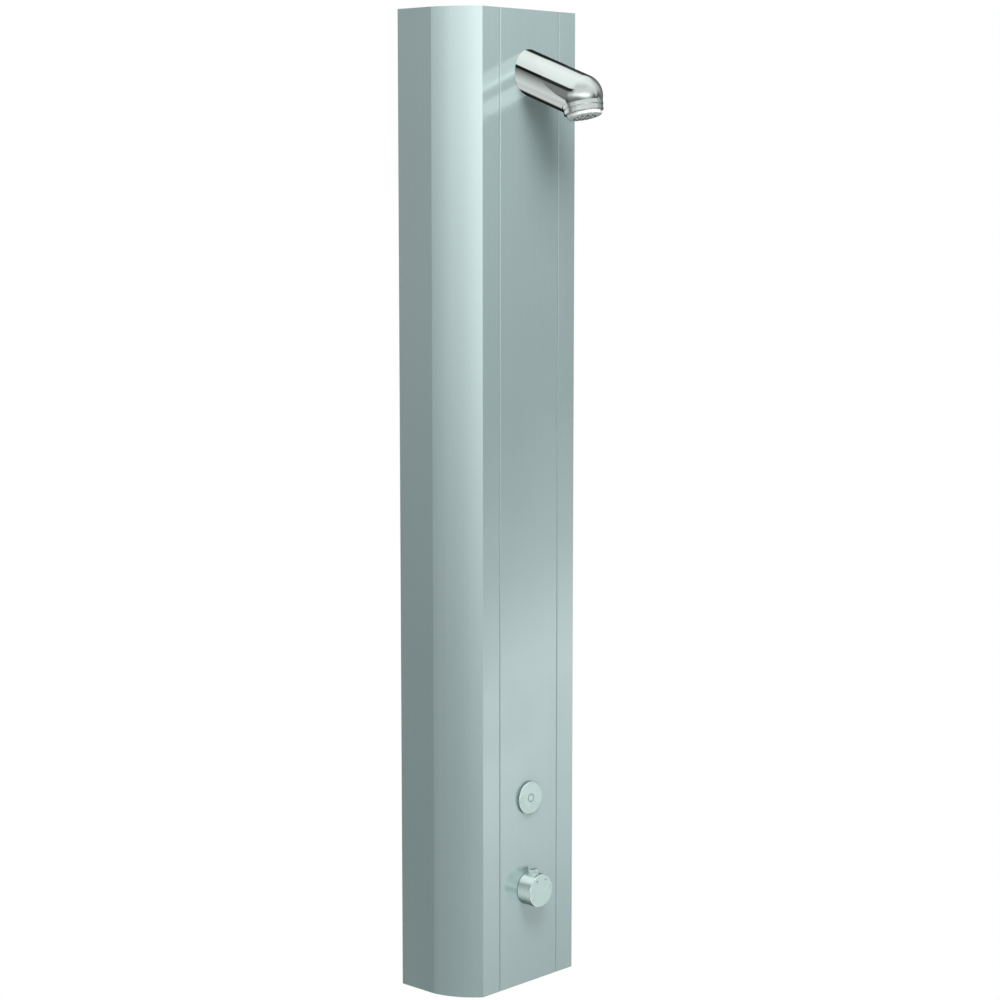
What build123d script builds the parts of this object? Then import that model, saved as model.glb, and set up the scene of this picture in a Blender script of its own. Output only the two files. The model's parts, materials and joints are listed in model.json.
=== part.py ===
from build123d import *
import os
from math import cos, hypot, pi, radians, sin, sqrt

# Wall-mounted shower panel, in millimetres. The wall is the plane Y = 0, the panel's front looks
# along -Y, +Z is up, and the origin is the centre of the four wall screws. A "distance" is
# measured out of the wall, along -Y.

# Panel section
panel_height = 1200.0
panel_width = 226.0
panel_depth = 110.0
side_depth = 56.0  # flat flank, from the wall to the crease
front_width = 163.5  # flat front, between the two wings
wing_radius = 88.0
centre_width = 104.0  # between the middles of the two seams
seam_gap = 1.2
profile_wall = 2.0
plate_thickness = 2.0  # front plate
edge_chamfer = 0.5
return_lip = 15.0  # lips that lie on the wall
seat_lip = 10.0  # lips that the front plate lies on, past the seam
seat_root = 6.0
seat_thickness = 2.0

# Clearances
part_gap = 0.3  # between pieces that don't touch
thread_gap = 0.05  # radial, between a thread and its hole
running_gap = 0.05  # radial, between a shaft and its bush

# End plates and the screw ports that they are fastened to
cap_thickness = 3.0
port_radius = 5.0
port_overlap = 0.6  # how far a port sinks into the profile's wall
port_side_distance = 22.0
port_front_x = 70.0
cap_screw_radius = 1.9
cap_screw_length = 14.0
cap_screw_head_radius = 3.3

# Studs on the back of the front plate, and their nuts
stud_rows = 5
stud_end = 45.0  # from the plate's ends to the first row
stud_inset = 5.0  # from the seam
stud_radius = 2.0
stud_length = 10.0
stud_nut_width = 7.0
stud_nut_height = 3.2

# Wall brackets and rails
wall_screw_spacing = 150.0
wall_screw_inset = 35.0  # from the panel's ends
wall_hole_radius = 3.5
bracket_thickness = 2.0
bracket_gap = 1.5  # between the bracket's flat and the return lips
joggle_end_gap = 4.0
joggle_wall = 2.5
top_bracket_height = 30.0
rail_height = 30.0
equipment_rail_height = 60.0
equipment_rail_level = 400.0  # levels are measured up from the panel's lower end
rail_levels = (660.0, 920.0)
rail_screw_radius = 1.9
rail_screw_length = 5.5
rail_screw_head_radius = 3.6
rail_screw_head_height = 2.4

# Shower head
head_drop = 74.3  # from the panel's upper end to the head's axis at the front plate
head_tilt = 20.0  # below the horizontal
head_reach = 87.2  # along the axis, to the centre of the ball nose
barrel_radius = 26.0
barrel_wall = 4.0
web_start = 14.0
web_thickness = 10.0
chamber_length = 38.0
throat_radius = 12.0
outlet_lean = 13.5  # outlet axis, outward from straight down
ring_seat = 9.0  # from the ball's centre, along the outlet axis
ring_radius = 24.4
ring_band = 5.0
ring_groove = 1.0
ring_groove_depth = 1.8
ring_step = 0.8
ring_second_band = 5.2
ring_neck_radius = 13.8
ring_neck_length = 7.0
ring_neck_wall = 2.4
ring_floor = 3.0
insert_radius = 21.0
insert_proud = 6.4
insert_dome = 1.4
insert_rim = 1.5
insert_plate = 4.0
nozzle_radius = 0.7
nozzle_circles = (0.0, 6.5, 12.5)
nozzle_counts = (1, 6, 12)
regulator_length = 4.0
regulator_hole = 2.5

# Head mount and riser
nipple_radius = 8.5
nipple_wall = 2.5
wedge_radius = 18.0
wedge_length = 14.0
head_nut_width = 30.0
head_nut_height = 8.0
elbow_radius = 13.0
elbow_leg_radius = 11.0
elbow_leg = 28.0
socket_depth = 14.0
riser_setback = 56.0  # behind the front plate
riser_radius = 7.5
riser_wall = 1.0
riser_nut_width = 24.0
riser_nut_height = 12.0
clip_wall = 2.5
clip_width = 12.0
clip_leg = 9.0

# Mixer
knob_level = 122.0
mixer_radius = 20.0
mixer_length = 62.0
mixer_setback = 12.0  # behind the front plate
cartridge_radius = 16.0
cartridge_seat = 12.0  # from the mixer's back
cartridge_wall = 4.5
cartridge_flange_radius = 18.0
cartridge_flange = 2.0
cartridge_front_wall = 8.0
inlet_setback = 22.0  # behind the mixer's front
inlet_port_radius = 10.0
inlet_port_reach = 38.0
outlet_port_reach = 33.0
cap_nut_wall = 2.4
cap_nut_skirt = 8.0
neck_radius = 14.0
neck_wall = 3.0
neck_proud = 4.0  # in front of the front plate
lock_ring_radius = 17.4
lock_ring_height = 3.4
piston_setback = 32.0  # behind the mixer's front
piston_length = 16.0
piston_bore = 3.0
spindle_radius = 5.0
spindle_end_gap = 2.0
spindle_tail = 5.5  # behind the cartridge's bush

# Temperature knob
knob_radius = 20.75
knob_proud = 22.0
knob_standoff = 0.8
knob_wall = 1.8
knob_face = 3.0
knob_bevel = 0.7
hub_radius = 8.6
hub_length = 11.0
dot_radius = 1.15
dot_depth = 0.6
dot_spacing = 15.6
dot_rise = 13.0
grub_radius = 1.5
grub_length = 3.2
stop_ring_radius = 13.0
stop_ring_height = 1.6
stop_pin_radius = 1.0
stop_pin_circle = 11.6
stop_pin_height = 2.6
knob_pin_angle = 180.0  # the knob's own pin, anticlockwise from +X
stop_angles = (86.0, -176.0)  # stop pins, measured from the knob's own pin
knob_pin_gap = 0.5

# Safety button on top of the knob
safety_width = 12.0
safety_length = 7.0
safety_offset = 8.6  # from the front plate's face to the button's middle
safety_proud = 4.4
safety_slot_gap = 0.25
safety_flange = 1.6
safety_flange_width = 14.4
safety_spring_radius = 2.6
safety_spring_wire = 0.8
spring_seat_gap = 0.05

# Start button
button_level = 237.4
button_radius = 20.5
button_proud = 4.2
button_disc = 2.1
button_bevel = 0.7
button_travel = 1.5
symbol_radius = 4.8
symbol_stroke = 1.0
symbol_depth = 0.4
symbol_gap_width = 3.0
symbol_tick_top = 6.2
symbol_tick_length = 3.6
stem_radius = 6.0
stem_length = 22.0
housing_radius = 15.0
housing_depth = 30.0
housing_wall = 2.5
housing_neck_radius = 9.0
housing_flange = 46.0
housing_flange_thickness = 2.5
housing_front_wall = 4.0
collar_radius = 8.5
collar_thickness = 2.0
housing_stud_spacing = 36.0
housing_stud_radius = 1.5
housing_stud_length = 6.5
housing_nut_width = 5.5
housing_nut_height = 2.4
switch_size = 10.0
switch_length = 6.0
button_spring_wire = 1.0

# Solenoid valve
solenoid_radius = 15.0
solenoid_height = 46.0
core_radius = 7.0
core_wall = 2.0
core_reach = 48.0
coil_radius = 14.0
coil_start = 17.0
coil_length = 28.0
plunger_length = 18.0
plunger_start = 11.5
nipple_nut_height = 12.0
nipple_overlap = 10.0

# Stop valves on the two supplies
inlet_spacing = 150.0
valve_level = 70.0
valve_radius = 13.0
valve_back = 0.5
valve_setback = 20.0  # behind the front plate
valve_flange_radius = 17.0
valve_flange = 3.0
inlet_thread_radius = 9.3
inlet_thread_length = 15.0
chamber_radius = 7.0
seat_start = 26.0
seat_web = 4.0
seat_hole_radius = 5.0
chamber_front_wall = 8.0
valve_port_radius = 10.0
valve_port_reach = 24.0
poppet_disc = 3.0
poppet_stem_radius = 2.0
poppet_stem_length = 7.0
check_spring_length = 13.0
check_spring_wire = 1.0
retainer_thickness = 2.0
retainer_hole_radius = 4.0
stop_spindle_radius = 4.6
stop_spindle_disc = 5.0
stop_spindle_proud = 9.0
slot_width = 1.4
slot_depth = 2.5
tube_radius = 6.0
tube_wall = 1.0
tube_bend = 20.0
tube_overlap = 8.0
tube_nut_width = 20.0
tube_nut_height = 8.0

# Control box and batteries
box_distance = 36.0  # front of the lid
box_wall = 2.0
lid_thickness = 2.5
control_width = 78.0
control_height = 54.0
battery_count = 4
battery_radius = 8.2
battery_length = 34.0
battery_pitch = 18.0
cable_radius = 2.0
cable_bend = 14.0

# Worked out from the sizes above
bottom_z = -panel_height / 2
top_z = panel_height / 2
plate_back = panel_depth - plate_thickness
riser_distance = plate_back - riser_setback
mixer_front = plate_back - mixer_setback
mixer_back = mixer_front - mixer_length
cartridge_back = mixer_back + cartridge_seat
inlet_distance = mixer_front - inlet_setback
piston_start = mixer_front - piston_setback
safety_distance = panel_depth + safety_offset
valve_front = plate_back - valve_setback
chamber_end = valve_front - chamber_front_wall
rail_flat_x = panel_width / 2 - return_lip - bracket_gap
control_x = -(rail_flat_x - joggle_wall + clip_leg / 2) / 2
seam_x = centre_width / 2
wall_screw_z = panel_height / 2 - wall_screw_inset
head_z = top_z - head_drop
button_z = bottom_z + button_level
knob_z = bottom_z + knob_level
valve_z = bottom_z + valve_level
equipment_z = bottom_z + equipment_rail_level
rail_zs = tuple(bottom_z + level for level in rail_levels)
stud_x = seam_x - stud_inset
stud_zs = tuple(
    bottom_z + stud_end + row * (panel_height - 2 * stud_end) / (stud_rows - 1)
    for row in range(stud_rows)
)

OUTWARD = Vector(0, -1, 0)
HEAD_DIRECTION = Vector(0, -cos(radians(head_tilt)), -sin(radians(head_tilt)))
OUTLET_DIRECTION = Vector(0, -sin(radians(outlet_lean)), -cos(radians(outlet_lean)))
HEAD_FOOT = Vector(0, -panel_depth, head_z)
BALL_CENTRE = HEAD_FOOT + HEAD_DIRECTION * head_reach

os.makedirs("parts", exist_ok=True)


def axis_plane(origin, direction):
    """Plane whose normal is the axis of a turned piece."""
    side = Vector(0, 1, 0) if abs(direction.X) > 0.5 else Vector(1, 0, 0)
    return Plane(origin=origin, x_dir=side, z_dir=direction)


def section_plane(origin, direction):
    """Plane of a turned piece's section: local x is the radius, local y runs along the axis."""
    return Plane(origin=origin, x_dir=(1, 0, 0), z_dir=Vector(1, 0, 0).cross(direction))


def out_of_wall(x, z):
    return axis_plane(Vector(x, 0, z), OUTWARD)


def upright(x, distance):
    return axis_plane(Vector(x, -distance, 0), Vector(0, 0, 1))


def sideways(side, distance, z):
    return axis_plane(Vector(0, -distance, z), Vector(side, 0, 0))


def bar(plane, start, end, radius, mode=Mode.ADD):
    """Round bar along the plane's normal, between two distances from the plane."""
    with Locations(plane.offset(start)):
        Cylinder(radius, end - start, align=(Align.CENTER, Align.CENTER, Align.MIN), mode=mode)


def tube(plane, start, end, radius, bore):
    """Round tube along the plane's normal."""
    bar(plane, start, end, radius)
    bar(plane, start, end, bore, Mode.SUBTRACT)


def hex_nut(plane, start, end, width, hole):
    """Hexagon nut, given by its width across flats and its hole."""
    with BuildSketch(plane.offset(start)) as outline:
        RegularPolygon(width / 2, 6, major_radius=False)
        Circle(hole, mode=Mode.SUBTRACT)
    extrude(outline.sketch, amount=end - start)


def block(x_range, distance_range, z_range, mode=Mode.ADD):
    """Box between two places along each axis."""
    centre = (sum(x_range) / 2, -sum(distance_range) / 2, sum(z_range) / 2)
    with Locations(centre):
        Box(
            abs(x_range[1] - x_range[0]),
            abs(distance_range[1] - distance_range[0]),
            abs(z_range[1] - z_range[0]),
            mode=mode,
        )


def turned(origin, direction, points):
    """Solid of revolution of a closed outline of (radius, distance along the axis) points."""
    with BuildSketch(section_plane(origin, direction)) as section:
        with BuildLine():
            Polyline(*points, close=True)
        make_face()
    revolve(section.sketch, axis=Axis(origin, direction))


def save(piece, name):
    """Name a finished piece and write it."""
    piece.label = name
    export_step(piece, f"parts/{name}.step")


# Arc of the wing: through the crease and the front corner, on a centre inside the panel
crease = Vector(-panel_width / 2, -side_depth)
corner = Vector(-front_width / 2, -panel_depth)
chord = corner - crease
chord_length = hypot(chord.X, chord.Y)
to_centre = sqrt(wing_radius**2 - (chord_length / 2) ** 2) / chord_length
wing_centre = (crease + corner) / 2 + Vector(-chord.Y, chord.X) * to_centre


def panel_section(inset):
    """The panel's outline seen from above, moved in from its outer skin."""
    radius = wing_radius - inset
    side_x = panel_width / 2 - inset
    front_y = -(panel_depth - inset)
    side_y = wing_centre.Y - sqrt(radius**2 - (side_x + wing_centre.X) ** 2)
    front_x = -wing_centre.X + sqrt(radius**2 - (front_y - wing_centre.Y) ** 2)
    middle = Vector(-side_x - front_x, side_y + front_y) / 2 - wing_centre
    middle = wing_centre + middle.normalized() * radius
    with BuildSketch() as outline:
        with BuildLine():
            ThreePointArc((-side_x, side_y), (middle.X, middle.Y), (-front_x, front_y))
            Line((-front_x, front_y), (front_x, front_y))
            ThreePointArc((front_x, front_y), (-middle.X, middle.Y), (side_x, side_y))
            Polyline((side_x, side_y), (side_x, -inset), (-side_x, -inset), (-side_x, side_y))
        make_face()
    return outline.sketch


# Screw ports: one on each flank and one behind each front strip
port_x = panel_width / 2 - profile_wall - port_radius + port_overlap
port_front_distance = panel_depth - profile_wall - port_radius + port_overlap
ports = ((port_x, port_side_distance), (port_front_x, port_front_distance))

# Rail and bracket ends are fastened through the return lips
joggle_tip = panel_width / 2 - profile_wall - joggle_end_gap
rail_x = (panel_width / 2 - return_lip + joggle_tip) / 2
rail_screw_zs = [equipment_z, *rail_zs]
bottom_bracket_zs = (bottom_z + 12.0, valve_z + valve_flange_radius + 6.0)
top_bracket_zs = (wall_screw_z - top_bracket_height / 2, wall_screw_z + top_bracket_height / 2)
bracket_screw_inset = 8.0
for low, high in (bottom_bracket_zs, top_bracket_zs):
    rail_screw_zs += [low + bracket_screw_inset, high - bracket_screw_inset]

# Side profiles
for side, name in ((-1, "left_side_profile"), (1, "right_side_profile")):
    with BuildPart() as side_profile:
        with BuildSketch(Plane.XY.offset(bottom_z)):
            add(panel_section(0))
            add(panel_section(profile_wall), mode=Mode.SUBTRACT)
            Rectangle(panel_width - 2 * return_lip, 4 * profile_wall, mode=Mode.SUBTRACT)
            with Locations((side * (seam_x + seam_gap / 2 + panel_width / 2), -panel_depth / 2)):
                Rectangle(panel_width, 2 * panel_depth, mode=Mode.INTERSECT)
        extrude(amount=panel_height)
        with BuildSketch(Plane.XY.offset(bottom_z + cap_thickness)):
            lip_middle = plate_back - seat_thickness / 2
            with Locations((side * (seam_x + (seat_root - seat_lip) / 2), -lip_middle)):
                Rectangle(seat_lip + seat_root, seat_thickness)
            root_depth = panel_depth - profile_wall / 2 - plate_back + seat_thickness
            root_middle = plate_back - seat_thickness + root_depth / 2
            root_width = seat_root - seam_gap / 2
            with Locations((side * (seam_x + seat_root - root_width / 2), -root_middle)):
                Rectangle(root_width, root_depth)
            for x, distance in ports:
                with Locations((side * x, -distance)):
                    Circle(port_radius)
        extrude(amount=panel_height - 2 * cap_thickness)
        for x, distance in ports:
            bar(upright(side * x, distance), bottom_z, top_z, cap_screw_radius + thread_gap,
                Mode.SUBTRACT)
        for z in stud_zs:
            bar(out_of_wall(side * stud_x, z), plate_back - 2 * seat_thickness, plate_back,
                stud_radius + part_gap, Mode.SUBTRACT)
        for z in rail_screw_zs:
            bar(out_of_wall(side * rail_x, z), 0, profile_wall, rail_screw_radius + thread_gap,
                Mode.SUBTRACT)
    save(side_profile.part, name)

# End plates, inset between the profiles and screwed to their ports
for name, face_z, up in (("top_cap", top_z, 1), ("bottom_cap", bottom_z, -1)):
    with BuildPart() as cap:
        with BuildSketch(Plane.XY.offset(face_z - up * cap_thickness)):
            add(panel_section(max(profile_wall, plate_thickness) + part_gap))
        extrude(amount=up * cap_thickness)
        for side in (-1, 1):
            for x, distance in ports:
                plane = axis_plane(Vector(side * x, -distance, face_z), Vector(0, 0, up))
                with Locations(plane):
                    CounterSinkHole(cap_screw_radius + part_gap, cap_screw_head_radius + part_gap)
    save(cap.part, name)

with BuildPart() as cap_screws:
    for face_z, up in ((top_z, 1), (bottom_z, -1)):
        for side in (-1, 1):
            for x, distance in ports:
                origin = Vector(side * x, -distance, face_z)
                slope = cap_screw_head_radius - cap_screw_radius
                turned(
                    origin,
                    Vector(0, 0, up),
                    [
                        (0, 0),
                        (cap_screw_head_radius, 0),
                        (cap_screw_radius, -slope),
                        (cap_screw_radius, -cap_screw_length),
                        (0, -cap_screw_length),
                    ],
                )
save(cap_screws.part, "cap_screws")

# Front plate with its welded studs
nipple_hole = nipple_radius + 2 * part_gap
neck_hole = neck_radius + part_gap
stem_hole = housing_neck_radius + part_gap
housing_studs = [
    (x * housing_stud_spacing / 2, button_z + z * housing_stud_spacing / 2)
    for x in (-1, 1)
    for z in (-1, 1)
]
with BuildPart() as front_panel:
    with BuildSketch(Plane.XZ.offset(plate_back)):
        Rectangle(centre_width - seam_gap, panel_height)
        with Locations((0, knob_z)):
            Circle(neck_hole, mode=Mode.SUBTRACT)
        with Locations((0, button_z)):
            Circle(stem_hole, mode=Mode.SUBTRACT)
    extrude(amount=plate_thickness)
    bar(axis_plane(HEAD_FOOT, HEAD_DIRECTION), -2 * barrel_radius, barrel_radius, nipple_hole,
        Mode.SUBTRACT)
    chamfer(front_panel.edges().filter_by(Axis.Z).group_by(Axis.Y)[0], edge_chamfer)
    for side in (-1, 1):
        for z in stud_zs:
            bar(out_of_wall(side * stud_x, z), plate_back - stud_length, plate_back, stud_radius)
    for x, z in housing_studs:
        bar(out_of_wall(x, z), plate_back - housing_stud_length, plate_back, housing_stud_radius)
save(front_panel.part, "front_panel")

lip_back = plate_back - seat_thickness


def joggled_plate(low, high):
    """Plate on the wall whose ends step forward over the profiles' return lips."""
    step = profile_wall
    outline = [
        (rail_flat_x, 0),
        (rail_flat_x, -step),
        (joggle_tip, -step),
        (joggle_tip, -step - bracket_thickness),
        (rail_flat_x - joggle_wall, -step - bracket_thickness),
        (rail_flat_x - joggle_wall, -bracket_thickness),
    ]
    mirrored = [(-x, y) for x, y in reversed(outline)]
    with BuildSketch(Plane.XY.offset(low)) as section:
        with BuildLine():
            Polyline(*outline, *mirrored, close=True)
        make_face()
    extrude(section.sketch, amount=high - low)


def rail_screw_holes(zs):
    """Clearance holes for the screws at both ends of a bracket or rail."""
    for side in (-1, 1):
        for z in zs:
            bar(out_of_wall(side * rail_x, z), 0, profile_wall + 2 * bracket_thickness,
                rail_screw_radius + part_gap, Mode.SUBTRACT)


def wall_screw_holes(z):
    for side in (-1, 1):
        bar(out_of_wall(side * wall_screw_spacing / 2, z), -1, 2 * bracket_thickness,
            wall_hole_radius, Mode.SUBTRACT)


valve_hole = valve_radius + part_gap
with BuildPart() as bottom_wall_bracket:
    joggled_plate(*bottom_bracket_zs)
    wall_screw_holes(-wall_screw_z)
    rail_screw_holes([bottom_bracket_zs[0] + bracket_screw_inset,
                      bottom_bracket_zs[1] - bracket_screw_inset])
    for side in (-1, 1):
        bar(out_of_wall(side * inlet_spacing / 2, valve_z), -1, 2 * bracket_thickness, valve_hole,
            Mode.SUBTRACT)
save(bottom_wall_bracket.part, "bottom_wall_bracket")

with BuildPart() as top_wall_bracket:
    joggled_plate(*top_bracket_zs)
    wall_screw_holes(wall_screw_z)
    rail_screw_holes([top_bracket_zs[0] + bracket_screw_inset,
                      top_bracket_zs[1] - bracket_screw_inset])
save(top_wall_bracket.part, "top_wall_bracket")

with BuildPart() as equipment_rail:
    joggled_plate(equipment_z - equipment_rail_height / 2, equipment_z + equipment_rail_height / 2)
    rail_screw_holes([equipment_z])
save(equipment_rail.part, "equipment_rail")

with BuildPart() as cross_rails:
    for z in rail_zs:
        joggled_plate(z - rail_height / 2, z + rail_height / 2)
    rail_screw_holes(rail_zs)
save(cross_rails.part, "cross_rails")

with BuildPart() as rail_screws:
    head_seat = profile_wall + bracket_thickness
    for side in (-1, 1):
        for z in rail_screw_zs:
            plane = out_of_wall(side * rail_x, z)
            bar(plane, head_seat - rail_screw_length + bracket_thickness, head_seat,
                rail_screw_radius)
            bar(plane, head_seat, head_seat + rail_screw_head_height, rail_screw_head_radius)
save(rail_screws.part, "rail_screws")

# Shower head: a barrel with a ball nose, screwed on a nipple that comes through the front plate
head_axis = axis_plane(HEAD_FOOT, HEAD_DIRECTION)
outlet_axis = axis_plane(BALL_CENTRE, OUTLET_DIRECTION)
barrel_bore = barrel_radius - barrel_wall
web_end = web_start + web_thickness
with BuildPart() as head_barrel:
    bar(head_axis, -barrel_radius, head_reach, barrel_radius)
    with Locations(BALL_CENTRE):
        Sphere(barrel_radius)
    bar(head_axis, -barrel_radius, web_start, barrel_bore, Mode.SUBTRACT)
    bar(head_axis, 0, web_end, nipple_radius + thread_gap, Mode.SUBTRACT)
    bar(head_axis, web_end, web_end + chamber_length, barrel_bore, Mode.SUBTRACT)
    bar(head_axis, web_end, head_reach, throat_radius, Mode.SUBTRACT)
    bar(outlet_axis, 0, ring_seat, ring_neck_radius + thread_gap, Mode.SUBTRACT)
    bar(outlet_axis, ring_seat, 3 * barrel_radius, ring_radius + part_gap, Mode.SUBTRACT)
    split(bisect_by=Plane.XZ.offset(panel_depth), keep=Keep.TOP)
save(head_barrel.part, "head_barrel")

band_end = ring_seat + ring_band
second_start = band_end + ring_groove
ring_end = second_start + ring_second_band
second_radius = ring_radius - ring_step
cup_radius = insert_radius + part_gap
with BuildPart() as head_ring:
    turned(
        BALL_CENTRE,
        OUTLET_DIRECTION,
        [
            (ring_neck_radius - ring_neck_wall, ring_seat - ring_neck_length),
            (ring_neck_radius, ring_seat - ring_neck_length),
            (ring_neck_radius, ring_seat),
            (ring_radius - edge_chamfer, ring_seat),
            (ring_radius, ring_seat + edge_chamfer),
            (ring_radius, band_end - edge_chamfer),
            (ring_radius - edge_chamfer, band_end),
            (ring_radius - ring_groove_depth, band_end),
            (ring_radius - ring_groove_depth, second_start),
            (second_radius - edge_chamfer, second_start),
            (second_radius, second_start + edge_chamfer),
            (second_radius, ring_end - edge_chamfer),
            (second_radius - edge_chamfer, ring_end),
            (cup_radius, ring_end),
            (cup_radius, ring_seat + ring_floor),
            (ring_neck_radius - ring_neck_wall, ring_seat + ring_floor),
        ],
    )
save(head_ring.part, "head_ring")

# Spray insert: a cup with a slightly domed face and a ring pattern of nozzles
rim_height = ring_end + insert_proud - insert_dome
rim_middle = insert_rim * (1 - sqrt(0.5))
insert_top = rim_height + insert_dome
cup_wall = 2.5
with BuildPart() as spray_insert:
    with BuildSketch(section_plane(BALL_CENTRE, OUTLET_DIRECTION)):
        with BuildLine():
            Polyline(
                (0, insert_top),
                (0, insert_top - insert_plate),
                (insert_radius - cup_wall, rim_height - insert_plate),
                (insert_radius - cup_wall, ring_seat + ring_floor),
                (insert_radius, ring_seat + ring_floor),
                (insert_radius, rim_height - insert_rim),
            )
            ThreePointArc(
                (insert_radius, rim_height - insert_rim),
                (insert_radius - rim_middle, rim_height - rim_middle),
                (insert_radius - insert_rim, rim_height),
            )
            dome_half = (insert_radius - insert_rim) / 2
            ThreePointArc(
                (insert_radius - insert_rim, rim_height),
                (dome_half, rim_height + 0.75 * insert_dome),
                (0, insert_top),
            )
        make_face()
    revolve(axis=Axis(BALL_CENTRE, OUTLET_DIRECTION))
    with Locations(outlet_axis.offset(insert_top)):
        for circle, count in zip(nozzle_circles, nozzle_counts):
            with PolarLocations(circle, count):
                Hole(nozzle_radius, depth=insert_plate + 2 * insert_dome)
save(spray_insert.part, "spray_insert")

with BuildPart() as flow_regulator:
    regulator_end = ring_seat - thread_gap
    tube(outlet_axis, regulator_end - regulator_length, regulator_end,
         ring_neck_radius - ring_neck_wall - running_gap, regulator_hole)
save(flow_regulator.part, "flow_regulator")

with BuildPart() as head_wedge:
    bar(head_axis, -wedge_length, barrel_radius, wedge_radius)
    bar(head_axis, -wedge_length, barrel_radius, nipple_radius + part_gap, Mode.SUBTRACT)
    split(bisect_by=Plane.XZ.offset(plate_back), keep=Keep.BOTTOM)
save(head_wedge.part, "head_wedge")

with BuildPart() as head_nut:
    hex_nut(head_axis, -wedge_length - head_nut_height, -wedge_length, head_nut_width,
            nipple_radius + thread_gap)
save(head_nut.part, "head_nut")

# Elbow: the nipple slopes down out of the panel, and the riser comes up into its leg
riser_axis = upright(0, riser_distance)
elbow_s = -(panel_depth - riser_distance) / cos(radians(head_tilt))
elbow_centre = HEAD_FOOT + HEAD_DIRECTION * elbow_s
leg_end = elbow_centre.Z - elbow_leg
with BuildPart() as head_elbow:
    bar(head_axis, elbow_s, web_end, nipple_radius)
    with Locations(elbow_centre):
        Sphere(elbow_radius)
    bar(riser_axis, leg_end, elbow_centre.Z, elbow_leg_radius)
    bar(head_axis, elbow_s, web_end, nipple_radius - nipple_wall, Mode.SUBTRACT)
    bar(riser_axis, leg_end, elbow_centre.Z, riser_radius - riser_wall, Mode.SUBTRACT)
    bar(riser_axis, leg_end, leg_end + socket_depth, riser_radius + thread_gap, Mode.SUBTRACT)
save(head_elbow.part, "head_elbow")

# Mixer body, along the knob's axis, with its inlets on both sides and its outlet on top
mixer_axis = out_of_wall(0, knob_z)
port_top = knob_z + outlet_port_reach
with BuildPart() as mixer_body:
    bar(mixer_axis, mixer_back, mixer_front, mixer_radius)
    for side in (-1, 1):
        bar(sideways(side, inlet_distance, knob_z), 0, inlet_port_reach, inlet_port_radius)
    bar(riser_axis, knob_z, port_top, inlet_port_radius)
    bar(mixer_axis, cartridge_back, mixer_front, cartridge_radius, Mode.SUBTRACT)
    for side in (-1, 1):
        inlet = sideways(side, inlet_distance, knob_z)
        bar(inlet, 0, inlet_port_reach, tube_radius - tube_wall, Mode.SUBTRACT)
        bar(inlet, inlet_port_reach - tube_overlap, inlet_port_reach, tube_radius + thread_gap,
            Mode.SUBTRACT)
    bar(riser_axis, knob_z, port_top, riser_radius - riser_wall, Mode.SUBTRACT)
    bar(riser_axis, port_top - nipple_overlap, port_top, riser_radius + thread_gap, Mode.SUBTRACT)
save(mixer_body.part, "mixer_body")

# Thermostatic cartridge: a sleeve with inlet windows, a flange and a bush for the spindle
cartridge_end = mixer_front + cartridge_flange
cartridge_bore = cartridge_radius - cartridge_wall
spindle_bush = spindle_radius + running_gap
with BuildPart() as thermostat_cartridge:
    bar(mixer_axis, cartridge_back + part_gap, cartridge_end, cartridge_radius - running_gap)
    bar(mixer_axis, mixer_front, cartridge_end, cartridge_flange_radius)
    bar(mixer_axis, cartridge_back + cartridge_wall, cartridge_end - cartridge_front_wall,
        cartridge_bore, Mode.SUBTRACT)
    bar(mixer_axis, cartridge_back + cartridge_wall, cartridge_end, spindle_bush, Mode.SUBTRACT)
    for side in (-1, 1):
        bar(sideways(side, inlet_distance, knob_z), cartridge_bore / 2, cartridge_radius,
            tube_radius - tube_wall, Mode.SUBTRACT)
    bar(upright(0, riser_distance + tube_radius), knob_z, knob_z + cartridge_radius,
        tube_radius - tube_wall, Mode.SUBTRACT)
save(thermostat_cartridge.part, "thermostat_cartridge")

# Cap nut: its skirt holds the cartridge, and its threaded neck goes through the front plate
neck_end = panel_depth + neck_proud
skirt_radius = mixer_radius + thread_gap
with BuildPart() as cartridge_nut:
    turned(
        Vector(0, 0, knob_z),
        OUTWARD,
        [
            (skirt_radius, mixer_front - cap_nut_skirt),
            (skirt_radius + cap_nut_wall, mixer_front - cap_nut_skirt),
            (skirt_radius + cap_nut_wall, plate_back),
            (neck_radius, plate_back),
            (neck_radius, neck_end),
            (neck_radius - neck_wall, neck_end),
            (neck_radius - neck_wall, cartridge_end),
            (skirt_radius, cartridge_end),
        ],
    )
save(cartridge_nut.part, "cartridge_nut")

with BuildPart() as lock_ring:
    tube(mixer_axis, panel_depth, panel_depth + lock_ring_height, lock_ring_radius,
         neck_radius + thread_gap)
save(lock_ring.part, "lock_ring")

with BuildPart() as stop_ring:
    stop_top = neck_end + stop_ring_height
    tube(mixer_axis, neck_end, stop_top, stop_ring_radius, stop_pin_circle - 2 * stop_pin_radius)
    for angle in stop_angles:
        turn = radians(knob_pin_angle + angle)
        pin_x = stop_pin_circle * cos(turn)
        pin_z = knob_z + stop_pin_circle * sin(turn)
        bar(out_of_wall(pin_x, pin_z), neck_end, stop_top + stop_pin_height, stop_pin_radius)
save(stop_ring.part, "stop_ring")

with BuildPart() as thermostat_piston:
    tube(mixer_axis, piston_start, piston_start + piston_length, cartridge_bore - running_gap,
         piston_bore)
save(thermostat_piston.part, "thermostat_piston")

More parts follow.
